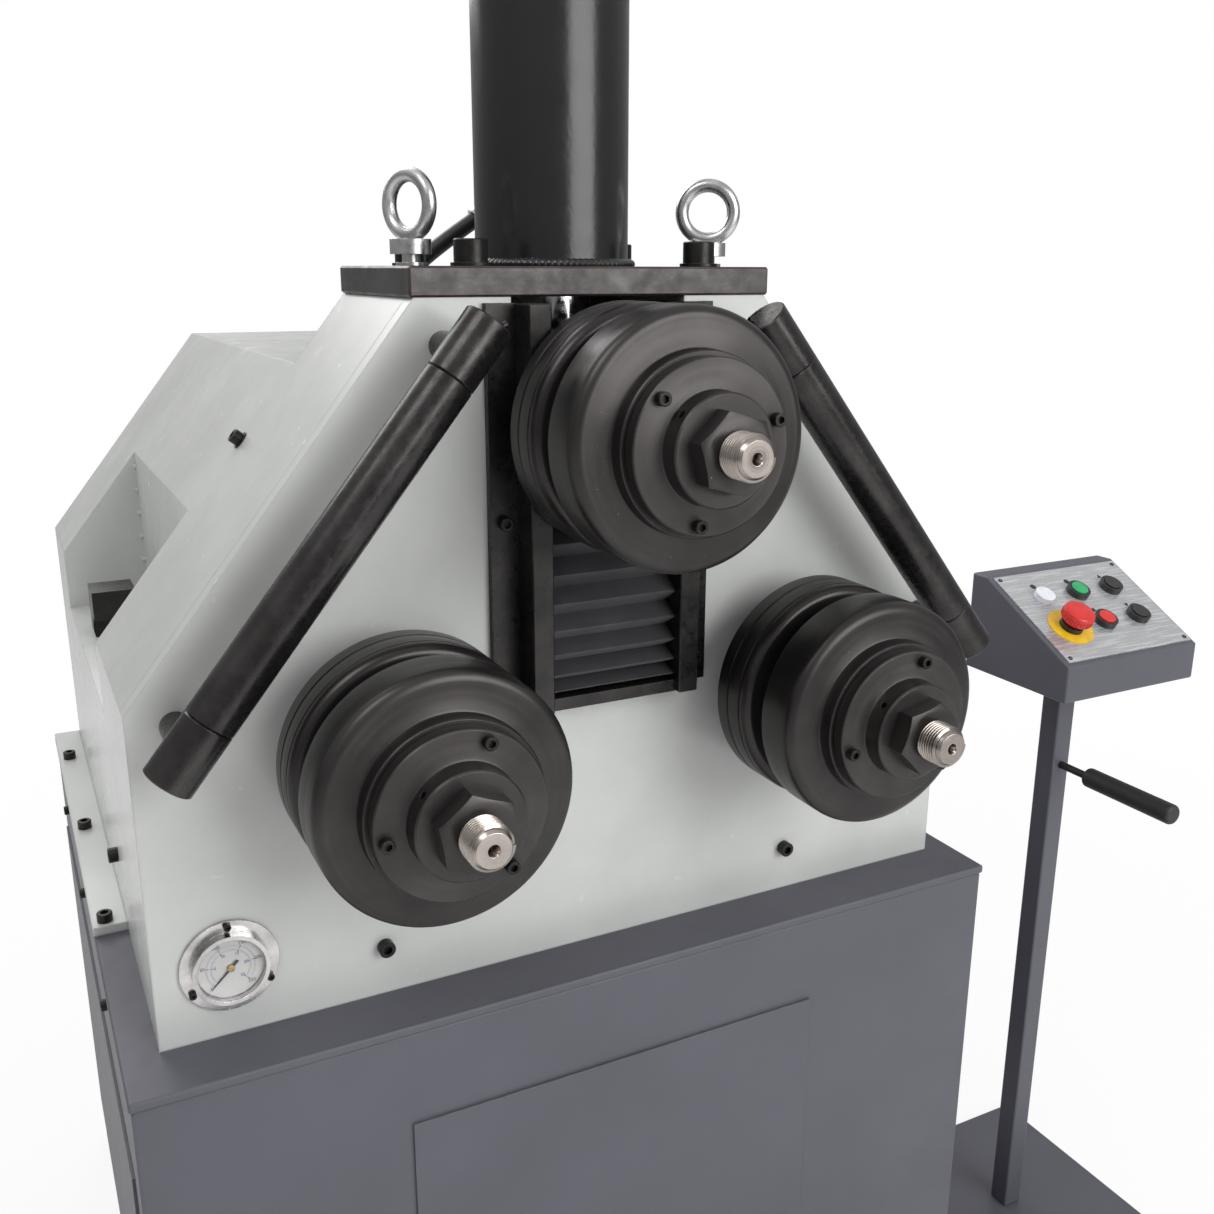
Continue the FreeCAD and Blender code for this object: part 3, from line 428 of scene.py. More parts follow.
tack = turned("tack", [
    (TACK_RADIUS * 0.96, 0), (TACK_RADIUS, TACK_RADIUS * 0.25), (TACK_RADIUS * 0.82, TACK_RADIUS * 0.62),
    (TACK_RADIUS * 0.45, TACK_RADIUS * 0.85),
], 20)
tacks = []
for side in (-1, 1):
    for count in range(TACK_COUNT):
        spot = (side * TACK_X, TACK_Y, DECK + TACK_TOP - count * TACK_PITCH)
        tacks.append(copied(tack, "recess_tacks", spot, (side, -1, 0), 0.9))
keep(joined("recess_tacks", tacks), "machine", housing_paint)
bpy.data.objects.remove(tack)

# Slide way. Ground and blackened steel bars stand in the slot and a strip is screwed down over
# each. A sill closes the slot's foot. The drive's bracket in the left recess is of the same steel.
STRIP_SCREW_X = 0.1015
STRIP_SCREW_HEIGHTS = (0.297, 0.452)
BAR_STEEL = (0.045, 0.043, 0.042, 1)
BRACKET_WIDTH = 0.050
BRACKET_FOOT = (0.022, 0.020)

bar_steel = bare_metal("bar_steel", BAR_STEEL, 0.32)
finish(bar_steel, "guide_bars", "guide_strips", "slot_sill", "slide_head", "drive_block")
block_low, block_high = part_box("drive_block")
bpy.ops.mesh.primitive_cube_add(size=1, location=(0, 0, 0))
block = bpy.context.object
block.name = "drive_bracket"
block.scale = (BRACKET_WIDTH, block_high.y - block_low.y, block_high.z - block_low.z)
block.location = (block_low.x + BRACKET_WIDTH / 2, (block_low.y + block_high.y) / 2,
                  (block_low.z + block_high.z) / 2)
bpy.ops.mesh.primitive_cube_add(size=1, location=(0, 0, 0))
foot = bpy.context.object
foot.name = "drive_bracket_foot"
foot.scale = (block_high.x - block_low.x, *BRACKET_FOOT)
foot.location = ((block_low.x + block_high.x) / 2, block_low.y + BRACKET_FOOT[0] / 2,
                 block_low.z + BRACKET_FOOT[1] / 2)
keep(joined("drive_bracket", [block, foot]), "machine", bar_steel)
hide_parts("drive_block")
strip_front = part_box("guide_strips")[0].y
screwed("strip_screws", [((side * STRIP_SCREW_X, strip_front, DECK + height), (0, -1, 0))
                         for side in (-1, 1) for height in STRIP_SCREW_HEIGHTS], size=0.8)

# Bellows. A strip of rubber coated cloth folded into pleats, which covers the slot under the
# slide. It is held at the sill and under the slide's neck. Its pleats are built at one fixed
# spread; nothing here closes them as the slide comes down.
BELLOWS_FOLDS = 8
FOLD_SPREAD = 1.35
CLOTH_THICKNESS = 0.0011
CLOTH_INSET = 0.0012
BACK_FOLD = -0.010
PLEAT_ROUND = 0.0016
CLOTH_COLOUR = (0.022, 0.022, 0.025, 1)

cloth, cloth_tree, cloth_shader = new_material("bellows_cloth", 0.62)
weave_place = add(cloth_tree, "ShaderNodeMapping", {
    "Vector": object_place(cloth_tree), "Scale": (1500, 1500, 1500),
}).outputs[0]
weave = add(cloth_tree, "ShaderNodeTexVoronoi", {"Vector": weave_place, "Scale": 1.0}).outputs["Distance"]
dust = spread(cloth_tree, noise(cloth_tree, 14, 6), 0.45, 0.75)
cloth_tree.links.new(mixed(cloth_tree, dust, CLOTH_COLOUR, shade(CLOTH_COLOUR, 2.2)),
                     cloth_shader.inputs["Base Color"])
cloth_shader.inputs["Sheen Weight"].default_value = 0.15
bumped(cloth_tree, cloth_shader, weave, 0.00006)

fold_low, fold_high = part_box("slide_bellows")
front_fold = fold_low.y + CLOTH_INSET + CLOTH_THICKNESS
fold_height = fold_high.z - fold_low.z - 2 * CLOTH_THICKNESS
heights = [fold_low.z + CLOTH_THICKNESS + fold_height * (i / (2 * BELLOWS_FOLDS)) ** FOLD_SPREAD
           for i in range(2 * BELLOWS_FOLDS + 1)]
bpy.ops.object.select_all(action="DESELECT")
bpy.ops.mesh.primitive_plane_add(size=1, location=(0, 0, 0))
bellows = bpy.context.object
bellows.name = "bellows"
bellows.scale = (fold_high.x - fold_low.x, 1, 1)
bpy.ops.object.transform_apply(scale=True)
bpy.ops.object.mode_set(mode="EDIT")
bpy.ops.mesh.select_all(action="DESELECT")
bpy.ops.object.mode_set(mode="OBJECT")
for corner in bellows.data.vertices:
    corner.select = corner.co.y > 0
bpy.ops.object.mode_set(mode="EDIT")
bpy.ops.mesh.delete(type="VERT")
bpy.ops.mesh.select_all(action="SELECT")
bpy.ops.transform.translate(value=(0, 0.5 + BACK_FOLD, heights[0]))
for i in range(1, len(heights)):
    depth = front_fold - BACK_FOLD if i % 2 else BACK_FOLD - front_fold
    bpy.ops.mesh.extrude_region_move(
        TRANSFORM_OT_translate={"value": (0, depth, heights[i] - heights[i - 1])})
bpy.ops.mesh.select_all(action="SELECT")
bpy.ops.mesh.bevel(offset=PLEAT_ROUND, segments=3, affect="EDGES")
bpy.ops.object.mode_set(mode="OBJECT")
thickness = bellows.modifiers.new("thickness", "SOLIDIFY")
thickness.thickness = CLOTH_THICKNESS
thickness.offset = 0
bpy.ops.object.modifier_apply(modifier="thickness")
keep(bellows, "machine", cloth)
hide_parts("slide_bellows")
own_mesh(bellows)

# Roll sets. Each roll is turned from steel and blackened in oil, and is clamped on its shaft by a
# screwed flange and a thin nut. The shaft's end is bare, threaded and centre drilled.
ROLL_STEEL = (0.048, 0.044, 0.043, 1)
SHAFT_STEEL = (0.42, 0.375, 0.34, 1)
ROLL_SIDES = 160
EDGE_STEPS = 7
SPIN_MARKS = 1300
THREAD_PITCH = 0.003
THREAD_DEPTH = 0.0018
CLAMP_SCREW_RADIUS = 0.063
CLAMP_SCREW_ANGLES = {"upper": (139, 18.5, -101), "left": (69, 188, -52), "right": (75, -165, -45)}
SET_SCREW_ANGLE = 140
SET_SCREW_RADIUS = 0.0034
DISC_WIDTH = 0.017
DISC_GAP = 0.003
GROOVE_DEPTH = 0.004
ROLL_EDGE = 0.010
LAND_RADIUS = 0.076
LAND_HEIGHT = 0.015
CLAMP_THICKNESS = 0.013
HUB_RADIUS = 0.046
THREAD_RADIUS = 0.019
SPACER_RADIUS = 0.048
NUT_TURNS = {"upper": 14, "left": 9, "right": -16}


def lathe_steel(name, colour, centre, roughness, shine, mark=0.00003):
    """Turned steel: ring marks about its own axis on faces and rims, stains, bright corners."""
    material, tree, shader = new_material(name, roughness, shine)
    place = object_place(tree)
    flat = add(tree, "ShaderNodeMapping", {"Vector": place, "Location": (-centre.x, 0, -centre.z),
                                           "Scale": (1, 0, 1)})
    reach = add(tree, "ShaderNodeVectorMath", {0: flat.outputs[0]}, operation="LENGTH")
    depth = add(tree, "ShaderNodeSeparateXYZ", {0: place}).outputs["Y"]
    rings = add(tree, "ShaderNodeCombineXYZ", {"X": reach.outputs["Value"], "Y": depth})
    marks = noise(tree, SPIN_MARKS, 2, rings.outputs[0])
    broad = noise(tree, 110, 3, rings.outputs[0])
    stains = times(tree, spread(tree, noise(tree, 16, 7), 0.36, 0.70), spread(tree, broad, 0.2, 0.7))
    body = mixed(tree, stains, shade(colour, 0.72), shade(colour, 1.35))
    nicks = spread(tree, noise(tree, 420, 2, place), 0.76, 0.80)
    body = mixed(tree, nicks, body, shade(colour, 4.5))
    body = mixed(tree, worn_edges(tree, 0.0008), body, shade(colour, 2.4))
    tree.links.new(body, shader.inputs["Base Color"])
    gloss = spread(tree, broad, 0.3, 0.7, roughness - 0.07, roughness + 0.09)
    tree.links.new(gloss, shader.inputs["Roughness"])
    bumped(tree, shader, marks, mark)
    return material


def rounded_corner(radius, height, size, start, end):
    """Rings of a quarter round on a turned piece, centred at radius, height."""
    rings = []
    for step in range(EDGE_STEPS + 1):
        angle = start + (end - start) * step / EDGE_STEPS
        rings.append((radius + size * cos(angle), height + size * sin(angle)))
    return rings


def groove(radius, height, half_width, depth):
    """Rings of a shallow groove around a turned piece, with soft lips."""
    soft = half_width * 0.25
    return [
        (radius, height - half_width - soft),
        (radius - depth * 0.12, height - half_width + soft),
        (radius - depth, height - half_width * 0.15),
        (radius - depth, height + half_width * 0.15),
        (radius - depth * 0.12, height + half_width - soft),
        (radius, height + half_width + soft),
    ]


def thread(name, radius, start, end):
    """A screw thread about +Z: a triangle swept up its helix, with its ends closed."""
    bpy.ops.object.select_all(action="DESELECT")
    bpy.ops.mesh.primitive_circle_add(vertices=3, radius=THREAD_DEPTH, location=(0, 0, 0))
    ridge = bpy.context.object
    ridge.name = name
    bpy.ops.object.mode_set(mode="EDIT")
    bpy.ops.mesh.select_all(action="SELECT")
    bpy.ops.transform.rotate(value=radians(90), orient_axis="Z", center_override=(0, 0, 0))
    bpy.ops.transform.rotate(value=radians(90), orient_axis="X", center_override=(0, 0, 0))
    bpy.ops.transform.translate(value=(radius - THREAD_DEPTH, 0, start))
    bpy.ops.object.mode_set(mode="OBJECT")
    sweep = ridge.modifiers.new("sweep", "SCREW")
    sweep.axis = "Z"
    sweep.screw_offset = THREAD_PITCH
    sweep.iterations = int((end - start) / THREAD_PITCH)
    sweep.steps = 48
    sweep.render_steps = 48
    sweep.use_merge_vertices = False
    bpy.ops.object.modifier_apply(modifier="sweep")
    bpy.ops.object.mode_set(mode="EDIT")
    bpy.ops.mesh.select_all(action="DESELECT")
    bpy.ops.mesh.select_non_manifold(extend=False)
    bpy.ops.mesh.edge_face_add()
    bpy.ops.mesh.select_all(action="SELECT")
    bpy.ops.mesh.normals_make_consistent(inside=False)
    bpy.ops.object.mode_set(mode="OBJECT")
    return ridge


for side in ("upper", "left", "right"):
    body = f"{side}_rolls"
    shaft_low, shaft_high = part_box(f"{side}_shaft")
    axis = Vector(((shaft_low.x + shaft_high.x) / 2, 0, (shaft_low.z + shaft_high.z) / 2))
    rear_low, rear_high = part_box(f"{side}_rear_roll")
    front_low, front_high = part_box(f"{side}_front_roll")
    clamp_low, clamp_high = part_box(f"{side}_clamp_rings")
    nut_low, nut_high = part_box(f"{side}_lock_nut")
    roll = (rear_high.z - rear_low.z) / 2
    roll_steel = lathe_steel(f"{side}_roll_steel", ROLL_STEEL, axis, 0.33, 0.75)
    clamp_steel = lathe_steel(f"{side}_clamp_steel", shade(ROLL_STEEL, 1.25), axis, 0.36, 0.75)
    shaft_steel = lathe_steel(f"{side}_shaft_steel", SHAFT_STEEL, axis, 0.24, 1.0)
    bore = (shaft_high.x - shaft_low.x) / 2

    rear_back, rear_front = -rear_high.y, -rear_low.y
    rear = turned(f"{side}_rear_disc_roll", [
        (bore, rear_back),
        (roll - 0.0015, rear_back),
        (roll, rear_back + 0.0015),
        *groove(roll, rear_back + DISC_WIDTH + DISC_GAP / 2, DISC_GAP / 2, GROOVE_DEPTH),
        *groove(roll, rear_back + 2 * DISC_WIDTH + DISC_GAP * 1.5, DISC_GAP / 2, GROOVE_DEPTH),
        *rounded_corner(roll - ROLL_EDGE, rear_front - ROLL_EDGE, ROLL_EDGE, 0, pi / 2),
        (bore * 1.62, rear_front),
        (bore * 1.60, rear_front - 0.0012),
        (bore, rear_front - 0.0012),
    ], ROLL_SIDES)
    rear = copied(rear, f"{side}_rear_turned", axis, (0, -1, 0))
    bpy.data.objects.remove(bpy.data.objects[f"{side}_rear_disc_roll"])
    keep(rear, body, roll_steel)
    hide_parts(f"{side}_rear_roll")

    front_back, land_front = -front_high.y, -front_low.y
    roll_front = land_front - LAND_HEIGHT
    front = turned(f"{side}_front_blank", [
        (bore, front_back),
        *rounded_corner(roll - 0.002, front_back + 0.002, 0.002, -pi / 2, 0),
        *rounded_corner(roll - ROLL_EDGE, roll_front - ROLL_EDGE, ROLL_EDGE, 0, pi / 2),
        (LAND_RADIUS + 0.0025, roll_front),
        (LAND_RADIUS + 0.0008, roll_front + 0.0008),
        (LAND_RADIUS, roll_front + 0.0030),
        (LAND_RADIUS, land_front - 0.001),
        (LAND_RADIUS - 0.001, land_front),
        (bore, land_front),
    ], ROLL_SIDES)
    front_piece = copied(front, f"{side}_front_turned", axis, (0, -1, 0))
    bpy.data.objects.remove(front)
    keep(front_piece, body, roll_steel)
    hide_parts(f"{side}_front_roll")

    clamp_radius = (clamp_high.x - clamp_low.x) / 2
    clamp_front = land_front + CLAMP_THICKNESS
    hub_front = -clamp_low.y
    flange = turned(f"{side}_flange_blank", [
        (bore, land_front),
        (clamp_radius - 0.0008, land_front),
        (clamp_radius, land_front + 0.0008),
        (clamp_radius, clamp_front - 0.0012),
        (clamp_radius - 0.0012, clamp_front),
        (HUB_RADIUS + 0.0022, clamp_front),
        (HUB_RADIUS + 0.0006, clamp_front + 0.0006),
        (HUB_RADIUS, clamp_front + 0.0022),
        (HUB_RADIUS, hub_front - 0.0014),
        (HUB_RADIUS - 0.0014, hub_front),
        (bore * 0.64, hub_front),
    ], 128)
    bpy.ops.mesh.primitive_cylinder_add(vertices=20, radius=SET_SCREW_RADIUS, depth=0.02,
                                        location=(0, 0, 0))
    hole = bpy.context.object
    across = Vector((cos(radians(SET_SCREW_ANGLE)), sin(radians(SET_SCREW_ANGLE)), 0))
    hole.rotation_euler = across.to_track_quat("Z", "Y").to_euler()
    hole.location = across * HUB_RADIUS + Vector((0, 0, (clamp_front + hub_front) / 2))
    sink(flange, hole)
    spacer = turned(f"{side}_spacer_blank", [
        (bore, rear_front), (SPACER_RADIUS, rear_front), (SPACER_RADIUS, front_back), (bore, front_back),
    ], 96)
    flange_piece = copied(joined(f"{side}_clamp_blank", [flange, spacer]), f"{side}_clamp_turned",
                          axis, (0, -1, 0))
    bpy.data.objects.remove(bpy.data.objects[f"{side}_clamp_blank"])
    keep(flange_piece, body, clamp_steel)
    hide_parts(f"{side}_clamp_rings")

    spots = []
    for angle in CLAMP_SCREW_ANGLES[side]:
        turn = radians(angle)
        spots.append((axis + Vector((CLAMP_SCREW_RADIUS * cos(turn), -clamp_front,
                                     CLAMP_SCREW_RADIUS * sin(turn))), (0, -1, 0)))
    screwed(f"{side}_clamp_screws", spots, body, 0.72)

    tip = -shaft_low.y
    nut_front = -nut_low.y
    core = THREAD_RADIUS - THREAD_DEPTH * 1.5
    shaft = turned(f"{side}_shaft_blank", [
        (bore - 0.001, -shaft_high.y),
        (bore, -shaft_high.y + 0.001),
        (bore, hub_front - 0.0005),
        (core, hub_front),
        (core, tip - 0.003),
        (core - 0.0015, tip - 0.0008),
        (core - 0.0022, tip),
        (0.0052, tip),
        (0.0020, tip - 0.0050),
        (0.0019, tip - 0.0110),
    ], 96)
    helix = thread(f"{side}_thread", THREAD_RADIUS, nut_front - 2 * THREAD_PITCH, tip - 0.0035)
    shaft_piece = copied(joined(f"{side}_shaft_whole", [shaft, helix]), f"{side}_shaft_turned",
                         axis, (0, -1, 0))
    bpy.data.objects.remove(bpy.data.objects[f"{side}_shaft_whole"])
    keep(shaft_piece, body, shaft_steel)
    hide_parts(f"{side}_shaft")

    flat = (nut_high.z - nut_low.z) / 2
    corner = flat / cos(radians(30)) * 1.001
    nut = turned(f"{side}_nut_blank", [(corner, hub_front), (corner, nut_front)], 6)
    cone = turned(f"{side}_nut_cone", [
        (corner * 1.02, hub_front), (corner * 1.02, nut_front - corner * 0.09), (flat * 0.95, nut_front),
    ], 96)
    sink(nut, cone, "INTERSECT")
    bpy.ops.mesh.primitive_cylinder_add(vertices=64, radius=THREAD_RADIUS - 0.0006, depth=0.08,
                                        location=(0, 0, nut_front))
    sink(nut, bpy.context.object)
    nut.rotation_euler = (0, 0, radians(NUT_TURNS[side]))
    bpy.context.view_layer.objects.active = nut
    bpy.ops.object.select_all(action="DESELECT")
    nut.select_set(True)
    bpy.ops.object.transform_apply(rotation=True)
    nut_piece = copied(nut, f"{side}_nut_milled", axis, (0, -1, 0))
    bpy.data.objects.remove(nut)
    keep(nut_piece, body, clamp_steel)
    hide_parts(f"{side}_lock_nut")

# Bearing housings. Turned steel flanges seated in the front plate, behind each lower roll.
for side in ("left", "right"):
    bearing_low, bearing_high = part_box(f"bearing_{side}")
    middle = (bearing_low + bearing_high) / 2
    finish(lathe_steel(f"bearing_{side}_steel", ROLL_STEEL, middle, 0.36, 0.75), f"bearing_{side}")

# Crown. A thick flame cut plate, blackened, screwed down on the housing, with the barrel of the
# pressing cylinder welded on it and painted black.
CYLINDER_PAINT = (0.012, 0.012, 0.013, 1)
CYLINDER_CHIPS = (0.10, 0.085, 0.075, 1)
CROWN_STEEL = (0.050, 0.046, 0.046, 1)
CROWN_RUST = (0.20, 0.075, 0.05, 1)
WELD_BEADS = 84
BARREL_RADIUS = 0.074
BARREL_BORE_RADIUS = 0.0625
CAP_SCREW_CIRCLE = 0.067
CAP_SCREW_SINK = 0.008

crown_steel, crown_tree, crown_shader = new_material("crown_steel", 0.38, 0.6)
scale_spots = spread(crown_tree, noise(crown_tree, 24, 8), 0.40, 0.66)
crown_body = mixed(crown_tree, scale_spots, CROWN_STEEL, shade(CROWN_STEEL, 1.7))
rust = times(crown_tree, worn_edges(crown_tree, 0.0022), 0.9)
crown_tree.links.new(mixed(crown_tree, rust, crown_body, CROWN_RUST), crown_shader.inputs["Base Color"])
crown_tree.links.new(spread(crown_tree, noise(crown_tree, 70, 6), 0.3, 0.7, 0.28, 0.5),
                     crown_shader.inputs["Roughness"])
bumped(crown_tree, crown_shader, noise(crown_tree, 260, 6), 0.00018)
finish(crown_steel, "crown_plate")
finish(black_oxide, "crown_screws")
finish(bare_metal("rod_chrome", (0.62, 0.62, 0.63, 1), 0.12, shine=1.0), "piston_rod")

cylinder_paint = paint("cylinder_paint", CYLINDER_PAINT, CYLINDER_CHIPS, 0.20, 260, 0.00014)
barrel_low, barrel_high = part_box("cylinder_barrel")
barrel_axis = Vector(((barrel_low.x + barrel_high.x) / 2, (barrel_low.y + barrel_high.y) / 2, 0))
cap_low, cap_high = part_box("cylinder_cap")
barrel = turned("barrel_tube", [
    (BARREL_RADIUS, barrel_low.z), (BARREL_RADIUS, barrel_high.z),
    (BARREL_BORE_RADIUS, barrel_high.z), (BARREL_BORE_RADIUS, barrel_low.z),
], 144)
bead = turned("bead", [
    (0.0028, 0), (0.0046, 0.0012), (0.0050, 0.0030), (0.0042, 0.0050), (0.0020, 0.0064),
], 14)
beads = []
for count in range(WELD_BEADS):
    turn = 2 * pi * count / WELD_BEADS
    outward = Vector((cos(turn), sin(turn), 0))
    spot = outward * (BARREL_RADIUS + 0.0012) + Vector((0, 0, barrel_low.z + 0.0006))
    beads.append(copied(bead, "barrel_weld", spot, outward * 0.6 + Vector((0, 0, 1))))
bpy.data.objects.remove(bead)
barrel = joined("barrel_welded", [barrel] + beads)
barrel.location = barrel_axis
keep(barrel, "machine", cylinder_paint)
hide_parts("cylinder_barrel")
cap_radius = (cap_high.x - cap_low.x) / 2
end_cap = turned("end_cap_turned", [
    (cap_radius - 0.002, cap_low.z), (cap_radius, cap_low.z + 0.002),
    (cap_radius, cap_high.z - 0.003), (cap_radius - 0.003, cap_high.z),
    (cap_radius * 0.55, cap_high.z), (cap_radius * 0.54, cap_high.z - 0.002),
], 128)
end_cap.location = barrel_axis
keep(end_cap, "machine", cylinder_paint)
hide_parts("cylinder_cap")
screwed("end_cap_screws", [
    ((barrel_axis.x + CAP_SCREW_CIRCLE * cos(radians(turn)),
      barrel_axis.y + CAP_SCREW_CIRCLE * sin(radians(turn)),
      cap_high.z - CAP_SCREW_SINK), (0, 0, 1))
    for turn in range(30, 390, 60)], size=0.78)

# Lifting eyes. Drop forged, galvanised eyes screwed into the crown plate at its two sides.
ZINC = (0.56, 0.57, 0.56, 1)

zinc = bare_metal("zinc_plate", ZINC, 0.30, 0.00006, shine=1.0)
finish(zinc, "lifting_eyes")

# Guide arms. Turned bars of blackened steel along the slopes. Each tube is held between two end
# pieces that stand on studs in the front plate, and a small cap screw clamps each end piece.
ARM_STEEL = (0.050, 0.047, 0.046, 1)
ARM_RADIUS = 0.022
ARM_EDGE = 0.0012
ARM_TOP = (0.1338, -0.0641, 0.6336)
ARM_LOW = (0.4179, -0.0686, 0.2818)
ARM_END_LENGTH = 0.058
STUD_RADIUS = 0.013
ARM_SCREW_REACH = 0.014
ARM_SCREW_SINK = 0.001
ARM_TIP_SINK = 0.002

arm_steel = bare_metal("arm_steel", ARM_STEEL, 0.25, 0.00003, shine=0.8)
for side, sign in (("left", -1), ("right", 1)):
    top = Vector((sign * ARM_TOP[0], ARM_TOP[1], DECK + ARM_TOP[2]))
    low = Vector((sign * ARM_LOW[0], ARM_LOW[1], DECK + ARM_LOW[2]))
    along = (low - top).normalized()
    reach = (low - top).length
    bars = []
    for start, end in ((0, ARM_END_LENGTH), (ARM_END_LENGTH, reach - ARM_END_LENGTH),
                       (reach - ARM_END_LENGTH, reach)):
        bar = turned("arm_blank", [
            (ARM_RADIUS - ARM_EDGE, 0),
            (ARM_RADIUS, ARM_EDGE),
            (ARM_RADIUS, end - start - ARM_EDGE),
            (ARM_RADIUS - ARM_EDGE, end - start),
        ], 72)
        bars.append(copied(bar, f"arm_bar_{side}", top + along * start, along))
        bpy.data.objects.remove(bar)
    keep(bars[1], "machine", arm_steel)
    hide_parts(f"arm_tube_{side}")
    ends = [bars[0], bars[2]]
    for middle in (ARM_END_LENGTH / 2, reach - ARM_END_LENGTH / 2):
        seat = top + along * middle
        stud = turned("stud_blank", [(STUD_RADIUS, 0), (STUD_RADIUS, -seat.y)], 48)
        ends.append(copied(stud, "arm_stud", seat, (0, 1, 0)))
        bpy.data.objects.remove(stud)
    keep(joined(f"arm_end_bars_{side}", ends), "machine", arm_steel)
    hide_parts(f"arm_ends_{side}")
    inward = Vector((-sign, 0, 0.35))
    screwed(f"arm_screws_{side}", [
        (top + along * ARM_SCREW_REACH + inward.normalized() * (ARM_RADIUS - ARM_SCREW_SINK), inward),
        (low - along * ARM_TIP_SINK + Vector((0, ARM_RADIUS * 0.3, 0)), along),
    ], size=0.42)

# Pressure gauge. A stainless case on a flange held by three screws, a printed dial with a scale
# in each of two units, and a black pointer that rests at zero.
GAUGE_RIM = 0.0395
FLANGE_THICKNESS = 0.004
DIAL_DEPTH = 0.009
DIAL_RADIUS = 0.0294
DIAL_BACK = (0.60, 0.60, 0.59, 1)
SCALE_START = 225
SCALE_SWEEP = 270
SCALE_MARKS = 50
NEEDLE_LENGTH = 0.0348
NEEDLE_ROOT = 0.0016
NEEDLE_TIP = 0.0003
NEEDLE_MIDDLE = 0.0084
NEEDLE_LIFT = 0.0028

gauge_low, gauge_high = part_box("gauge_case")
dial_centre = Vector(((gauge_low.x + gauge_high.x) / 2, gauge_low.y + DIAL_DEPTH,
                      (gauge_low.z + gauge_high.z) / 2))
stainless = bare_metal("gauge_steel", (0.60, 0.58, 0.58, 1), 0.22, 0.00002, shine=1.0)
finish(stainless, "gauge_case")
glass, glass_tree, glass_shader = new_material("gauge_glass", 0.03)
glass_shader.inputs["Transmission Weight"].default_value = 1.0
glass_shader.inputs["IOR"].default_value = 1.45
bumped(glass_tree, glass_shader, noise(glass_tree, 900, 3), 0.000004)
clear = add(glass_tree, "ShaderNodeBsdfTransparent")
glass_path = add(glass_tree, "ShaderNodeLightPath")
let_through = add(glass_tree, "ShaderNodeMixShader", {
    0: glass_path.outputs["Is Shadow Ray"], 1: glass_shader.outputs[0], 2: clear.outputs[0]})
glass_tree.links.new(let_through.outputs[0], glass_tree.nodes["Material Output"].inputs["Surface"])
finish(glass, "gauge_glass")

dial_paint, dial_tree, dial_shader = new_material("dial_paint", 0.45)
dial_tree.links.new(mixed(dial_tree, spread(dial_tree, noise(dial_tree, 70, 5), 0.35, 0.7),
                          shade(DIAL_BACK, 0.93), DIAL_BACK), dial_shader.inputs["Base Color"])
bumped(dial_tree, dial_shader, noise(dial_tree, 1600, 2), 0.00001)
dial = turned("dial", [(DIAL_RADIUS, 0), (DIAL_RADIUS, 0.0006), (DIAL_RADIUS - 0.0004, 0.0009)], 96)
dial = copied(dial, "dial_plate", dial_centre, (0, -1, 0))
bpy.data.objects.remove(bpy.data.objects["dial"])
keep(dial, "machine", dial_paint)


def ink(name, colour):
    """Printing ink: one colour, a little uneven, nearly flat."""
    material, tree, shader = new_material(name, 0.5)
    tree.links.new(mixed(tree, noise(tree, 900, 3), shade(colour, 0.85), colour), shader.inputs["Base Color"])
    bumped(tree, shader, noise(tree, 1200, 2), 0.000005)
    return material


def on_dial(angle, radius, lift=0.0011):
    """A point of the dial at an angle and a radius."""
    turn = radians(angle)
    return dial_centre + Vector((radius * cos(turn), -lift, radius * sin(turn)))


def printed_mark(name, angle, inner, outer, width):
    """One printed line of a scale: a thin raised bar that points at the dial's centre."""
    bpy.ops.mesh.primitive_cube_add(size=1, location=(0, 0, 0))
    mark = bpy.context.object
    mark.name = name
    mark.scale = (outer - inner, 0.0002, width)
    mark.rotation_euler = (0, -radians(angle), 0)
    mark.location = on_dial(angle, (inner + outer) / 2)
    return mark


def printed_number(name, text, angle, radius, size):
    """One printed number of a scale, upright, as a thin raised mesh."""
    bpy.ops.object.text_add(location=(0, 0, 0), rotation=(radians(90), 0, 0))
    number = bpy.context.object
    number.name = name
    number.data.body = text
    number.data.size = size
    number.data.align_x = "CENTER"
    number.data.align_y = "CENTER"
    number.data.extrude = 0.0001
    number.location = on_dial(angle, radius)
    bpy.ops.object.convert(target="MESH")
    return bpy.context.object


# Each scale: its name, its ink, its colour, the marks' inner and outer radius, the numbers'
# radius and size, and the step from number to number.
SCALES = (
    ("black_scale", "dial_black", (0.012, 0.012, 0.012, 1), 0.0205, 0.0222, 0.0248, 0.0046, 50),
    ("blue_scale", "dial_blue", (0.03, 0.07, 0.30, 1), 0.0165, 0.0180, 0.0138, 0.0040, 5),
)
for scale_name, ink_name, colour, start, end, number_radius, letter, step in SCALES:
    marks = []
    for count in range(SCALE_MARKS + 1):
        angle = SCALE_START - SCALE_SWEEP * count / SCALE_MARKS
        major = count % 10 == 0
        marks.append(printed_mark(scale_name, angle, start - (0.0012 if major else 0), end,
                                  0.0006 if major else 0.00025))
        if major:
            marks.append(printed_number(scale_name, str(count // 10 * step), angle, number_radius, letter))
    keep(joined(scale_name, marks), "machine", ink(ink_name, colour))

